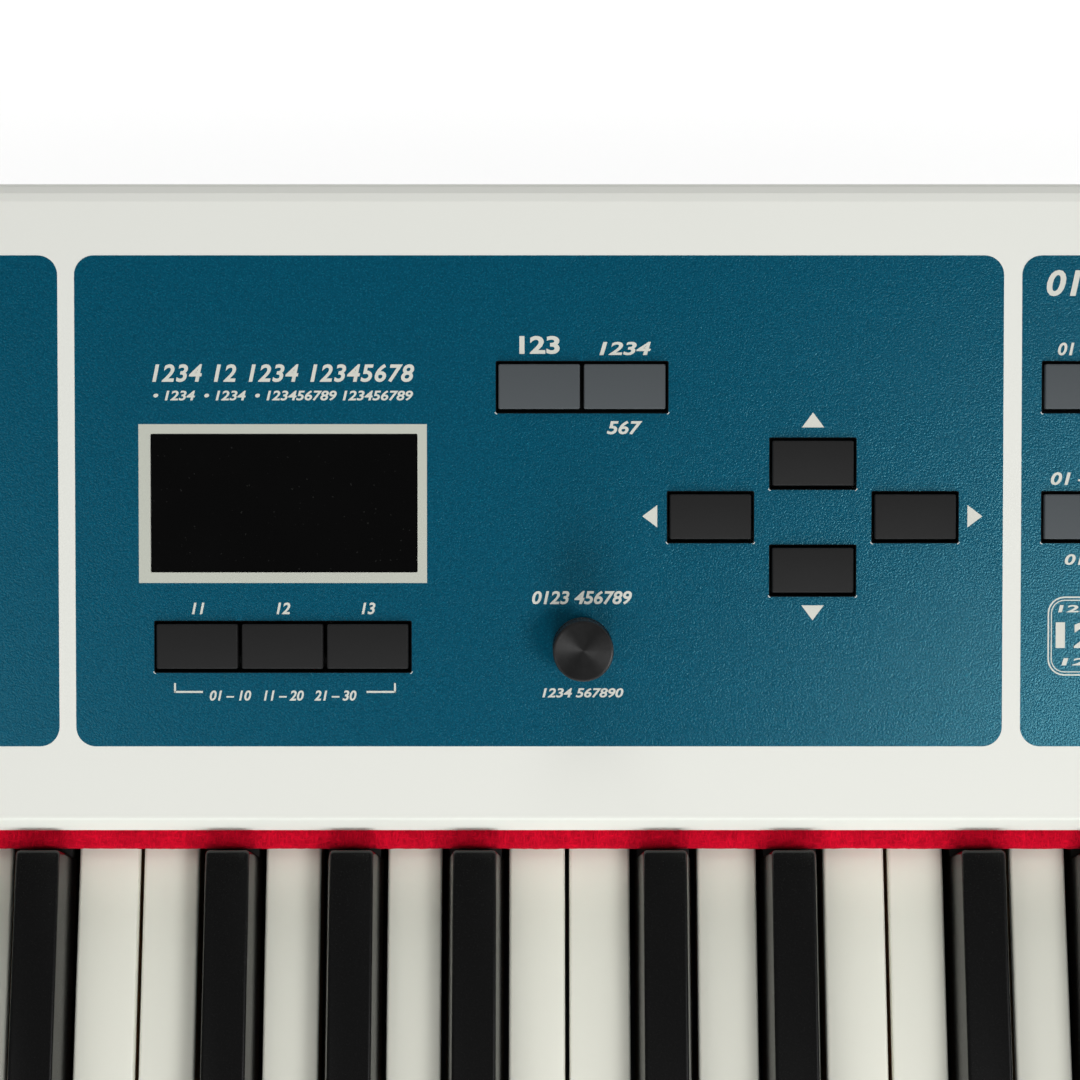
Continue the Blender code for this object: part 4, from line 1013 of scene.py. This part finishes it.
def make_wheels():
    """Ribbed wheels with a thumb notch."""
    steps, half = 120, WHEEL_WIDTH / 2
    rim = ((0.0008, 0), (0.0002, 0.0003), (0, 0.0008))
    flank = [(0.0028, half - 0.001), (0.006, half - 0.001), (0.0066, half)]
    flank += [(WHEEL_RADIUS - back, half - down) for back, down in rim]
    profile = [(radius, -level) for radius, level in flank] + flank[::-1]
    for name, x in zip(("pitch_wheel", "modulation_wheel"), WHEELS):
        shape = bmesh.new()
        add_turned(shape, profile, steps, closed=True)
        for vertex in shape.verts:
            if math.hypot(vertex.co.x, vertex.co.y) > WHEEL_RADIUS - 0.0009:
                turn = math.atan2(vertex.co.y, vertex.co.x)
                away = abs(turn) / math.radians(9.5)
                dip = 0.0031 * max(0, 1 - away**2)
                rib = 0.0004 if round(turn * steps / math.tau) % 2 and away > 1.1 else 0
                move_out(vertex, -dip - rib)
        place = on_panel(x, WHEEL_AT, -WHEEL_SINK) @ Matrix.Rotation(-math.pi / 2, 4, "Y")
        finish_piece(f"{name}_ribbed", shape, [WHEEL_RUBBER], name, name, place, 14)


# Rear connectors, screws and feet


def add_screw(shape, place, radius=0.0029, rise=0.0011):
    """A pan head with a dark cross on its dome: painted shade in place of a cross recess."""
    dome = ((0, 1), (0.55, 0.97), (0.85, 0.72), (1, 0.2))
    profile = [(radius * share, rise * level) for share, level in dome]
    add_turned(shape, [*profile, (radius, -0.0002)], 20, place)
    half_x, half_y = radius * 0.6, radius * 0.11
    # Painted shade: two dark bars set into the dome where the recess would be.
    for turn in (0.4, 0.4 + math.pi / 2):
        across = place @ Matrix.Rotation(turn, 4, "Z")
        add_box(shape, *about(0, 0, half_x, half_y, rise * 0.6, rise * 1.02), 1, across)


def finish_metal(name, shape, looks, angle=35):
    """Bare metal on the case."""
    finish_piece(name, shape, looks, angle=angle)


def make_screws():
    shape = bmesh.new()
    for xs, levels in (
        ((-0.595, -0.44, -0.26, 0.06, 0.24, 0.42, 0.595), (0.112, 0.022)),
        ((-0.2, -0.1, 0), (0.112, 0.053)),
    ):
        for x in xs:
            for z in levels:
                add_screw(shape, facing_rear(x, z))
    finish_metal("rear_screws", shape, SCREW_LOOKS, 50)
    shape = bmesh.new()
    for x in (-0.63, -0.47, -0.31, -0.155, 0, 0.155, 0.31, 0.47, 0.63):
        for y in (-0.14, 0.14):
            add_screw(shape, facing_down(x, y, 0.0115))
    finish_metal("tray_screws", shape, SCREW_LOOKS, 50)


def make_jacks():
    nuts, sleeves = bmesh.new(), bmesh.new()
    rim = [(0.0034, -0.0005), (0.0034, 0.0013), (0.004, 0.0015), (0.0043, 0.0013), (0.0043, -0.0005)]
    sleeve = [(0.00325, -0.027), (0.00325, -0.0004), (0.0033, -0.0004), (0.0033, -0.027)]
    for x in JACKS:
        place = facing_rear(x)
        add_flat(nuts, [circle(0, 0, 0.0052, 6), circle(0, 0, 0.0042, 36)], 0, 0.0009, place)
        add_turned(nuts, rim, 36, place, closed=True)
        add_turned(sleeves, sleeve, 24, place, closed=True)
    finish_metal("jack_nuts", nuts, [NICKEL])
    finish_metal("jack_sleeves", sleeves, [BRASS])


def add_tipped_box(shape, corners, width, place):
    """A box with its outer edges rounded."""
    part = bmesh.new()
    add_box(part, *corners)
    round_edges(part, rim_at(part, corners[1][2]), width, 2)
    add_part(shape, part, place)


def make_data_sockets():
    """Shells, tongues and contacts of the data sockets."""
    shells, contacts, inserts = bmesh.new(), bmesh.new(), bmesh.new()
    collar = [(0.0064, 0.0004), (0.0069, 0.0006), (0.0076, 0.0004), (0.0076, 0)]
    shell = [(0.0064, -0.0085), *collar, (0.0067, 0), (0.0067, -0.0085)]
    pin = [(0, 0.0042), (0.0005, 0.004), (0.0007, 0.0034), (0.0007, 0)]
    for x in DATA_SOCKETS[:2]:
        add_turned(shells, shell, 40, facing_rear(x), closed=True)
        for u, v in arc(0, 0, 0.0037, -180, 180, 4):
            add_turned(contacts, pin, 12, facing_rear(x) @ Matrix.Translation((u, v, -0.0089)))
    wall = 0.0009
    flat_sockets = (((0.0065, 0.0028), (0.0104, 0.0018, 0.0009)), ((0.0043, 0.004), (0.0054, 0.003, 0)))
    for x, (half, tongue) in zip(DATA_SOCKETS[2:], flat_sockets):
        place = facing_rear(x)
        outer = rounded_about(0, 0, half[0] + wall, half[1] + wall, 0.0009, 3)
        add_flat(shells, [outer, rounded_about(0, 0, *half, 0.0002, 2)], 0, 0.0006, place)
        width, height, lift = tongue
        add_tipped_box(inserts, about(0, -lift, width / 2, height / 2, -0.0119, -0.0022), 0.0003, place)
        edge = height / 2 - lift
        for step in range(4):
            offset = (step - 1.5) * width / 4.6
            strip_low = (offset - 0.0005, edge - 0.0002, -0.011)
            add_box(contacts, strip_low, (offset + 0.0005, edge + 0.00012, -0.003), 0, place)
    finish_metal("data_shells", shells, [NICKEL])
    finish_metal("data_contacts", contacts, [BRASS])
    finish_piece("data_tongues", inserts, [WHITE_PRINT])


def make_inlet():
    """Rim and blades of the inlet, and the switch."""
    inlet, switch = facing_rear(INLET_X), facing_rear(SWITCH_X)
    shape = bmesh.new()
    rim = [rounded_about(0, 0, 0.015, 0.0108, 0.0016, 4), rectangle(-0.0123, -0.0083, 0.0123, 0.0083)]
    add_flat(shape, rim, 0, 0.0009, inlet)
    sizes = ((0.0084, 0.0084, 0.0012, 4), (0.0065, 0.0065, 0.0003, 2))
    add_flat(shape, [rounded_about(0, 0, *size) for size in sizes], 0, 0.0006, switch)
    finish_piece("inlet_rims", shape, [SOCKET_PLASTIC])
    shape = bmesh.new()
    for x, y in ((-0.007, -0.0017), (0, 0.0025), (0.007, -0.0017)):
        add_tipped_box(shape, about(x, y, 0.001, 0.002, -0.0179, -0.0045), 0.0005, inlet)
    finish_metal("inlet_blades", shape, [NICKEL])
    shape = bmesh.new()
    cap_half, cap_top = 0.006, 0.0014
    verts = add_box(shape, *about(0, 0, cap_half, cap_half, -0.012, cap_top))
    round_edges(shape, uprights(verts), 0.0006)
    round_edges(shape, rim_at(shape, cap_top), 0.0004)
    node = "power_switch"
    finish_piece(f"{node}_cap", shape, [BLACK_CAP], node, node, switch)
    shape = bmesh.new()
    levels = (cap_top - 0.00002, cap_top + 0.00002)
    add_number(shape, "0  1", 0, 0, 0.003, None, 0, 0.02, 1, read_from_rear(SWITCH_X), levels)
    finish_piece(f"{node}_marks", shape, [WHITE_PRINT], node)


def make_rear_marks():
    shape = bmesh.new()
    for index, x in enumerate([*JACKS, *DATA_SOCKETS], 1):
        place = read_from_rear(x, 0.0605)
        add_number(shape, str(index), 0, 0, 0.004, None, 0, 0.03, 1, place, (0.00001, 0.00005))
    finish_piece("rear_marks", shape, [GREY_PRINT])


def make_feet():
    """Grooved rubber feet with a recessed screw."""
    radii = (0, 0.015, 0.015, 0.0145, 0.0145, 0.015, 0.015, 0.0146, 0.0138, 0.0068, 0.0062, 0.0062, 0)
    levels = (0.0112, 0.0112, 0.0066, 0.0062, 0.0056, 0.0052, 0.0012, 0.0003, 0, 0, 0.0006, 0.0036, 0.0036)
    profile = list(zip(radii, levels))
    for index, (x, y) in enumerate(FEET, 1):
        node = f"foot_{index}"
        shape = bmesh.new()
        add_turned(shape, profile, 48, Matrix.Translation((x, y, 0)))
        finish_piece(f"{node}_ribbed", shape, [FOOT_RUBBER], "chassis", node, angle=40)
        shape = bmesh.new()
        add_screw(shape, facing_down(x, y, 0.0037), 0.004, 0.0016)
        finish_metal(f"{node}_screw", shape, SCREW_LOOKS, 50)


# Frame pieces, floor, light and camera


def dress_frame():
    """Materials of the frame pieces that keep their shape."""
    finishes = {
        LIP_PAINTED_LIGHT_COAT: ("top_panel",),
        PANEL_COAT: ("rear_panel_left", "rear_panel_middle", "rear_panel_right"),
        CASE_COAT: ("left_cheek", "right_cheek", "key_slip"),
        TRAY_PAINT: ("base_tray",),
        ZINC: ("key_frame", "wheel_bracket"),
        BOARD: ("panel_board", "main_board"),
        SOCKET_PLASTIC: ("output_jacks", "data_sockets", "power_inlet"),
        GLASS: ("display_lens",),
    }
    for material, nodes in finishes.items():
        for node in nodes:
            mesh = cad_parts[node].data
            mesh.materials.clear()
            mesh.materials.append(material)


def make_floor():
    """A pale floor that keeps the shadow and looks brighter than it is."""
    shape = bmesh.new()
    bmesh.ops.create_grid(shape, x_segments=1, y_segments=1, size=12)
    mesh = new_mesh("floor", shape)
    made, tree, shader = start_material("pale_floor")
    rays = add_node(tree, "LightPath").outputs
    seen = maths(tree, "MAXIMUM", rays["Is Camera Ray"], rays["Is Glossy Ray"])
    seen = maths(tree, "MAXIMUM", seen, rays["Is Transmission Ray"])
    glow = mapped(tree, length_of(tree, object_place(tree)), 0.7, 3, 0.77, 0.95)
    fill(shader, {
        "Base Color": (0.5, 0.5, 0.5, 1),
        "Roughness": 0.9,
        "Emission Color": WHITE,
        "Emission Strength": maths(tree, "MULTIPLY", seen, glow),
    })
    mesh.materials.append(made)
    new_object("floor", mesh)


def make_light():
    """A white backdrop that lights little, and the lamps."""
    world = bpy.data.worlds.new("studio")
    bpy.context.scene.world = world
    world.use_nodes = True
    tree = world.node_tree
    seen = add_node(tree, "LightPath").outputs["Is Camera Ray"]
    fill(tree.nodes["Background"], {"Color": WHITE, "Strength": mapped(tree, seen, 0, 1, 0.05, 1)})
    for name, place, aim, size, power in LAMPS:
        lamp = bpy.data.lights.new(name, "AREA")
        lamp.shape = "SQUARE"
        lamp.size = size
        lamp.energy = power
        holder = new_object(name, lamp)
        holder.location = place
        holder.rotation_euler = (Vector(aim) - Vector(place)).to_track_quat("-Z", "Y").to_euler()


def make_camera():
    """The camera over the panel, as fitted to the photo."""
    lens = bpy.data.cameras.new("camera")
    lens.lens = 103.6
    lens.sensor_width = 36
    lens.clip_start, lens.clip_end = 0.05, 50
    camera = new_object("camera", lens)
    camera.location = (-0.0767, -0.07056, 0.76307)
    camera.rotation_euler = (math.radians(13), 0, 0)
    bpy.context.scene.camera = camera
    bpy.context.scene.view_settings.view_transform = "Standard"


dress_frame()
make_keys()
make_felt()
make_blocks()
make_main_marks()
make_right_marks()
make_left_marks()
make_liners()
make_buttons()
make_knob("data_knob", DATA_KNOB, 0.0064, 0.014, DATA_FACE)
make_knob("volume_knob", VOLUME_KNOB, 0.008, 0.015, VOLUME_FACE, VOLUME_ZERO)
make_sliders()
make_wheels()
make_screws()
make_jacks()
make_data_sockets()
make_inlet()
make_rear_marks()
make_feet()
make_floor()
make_light()
make_camera()
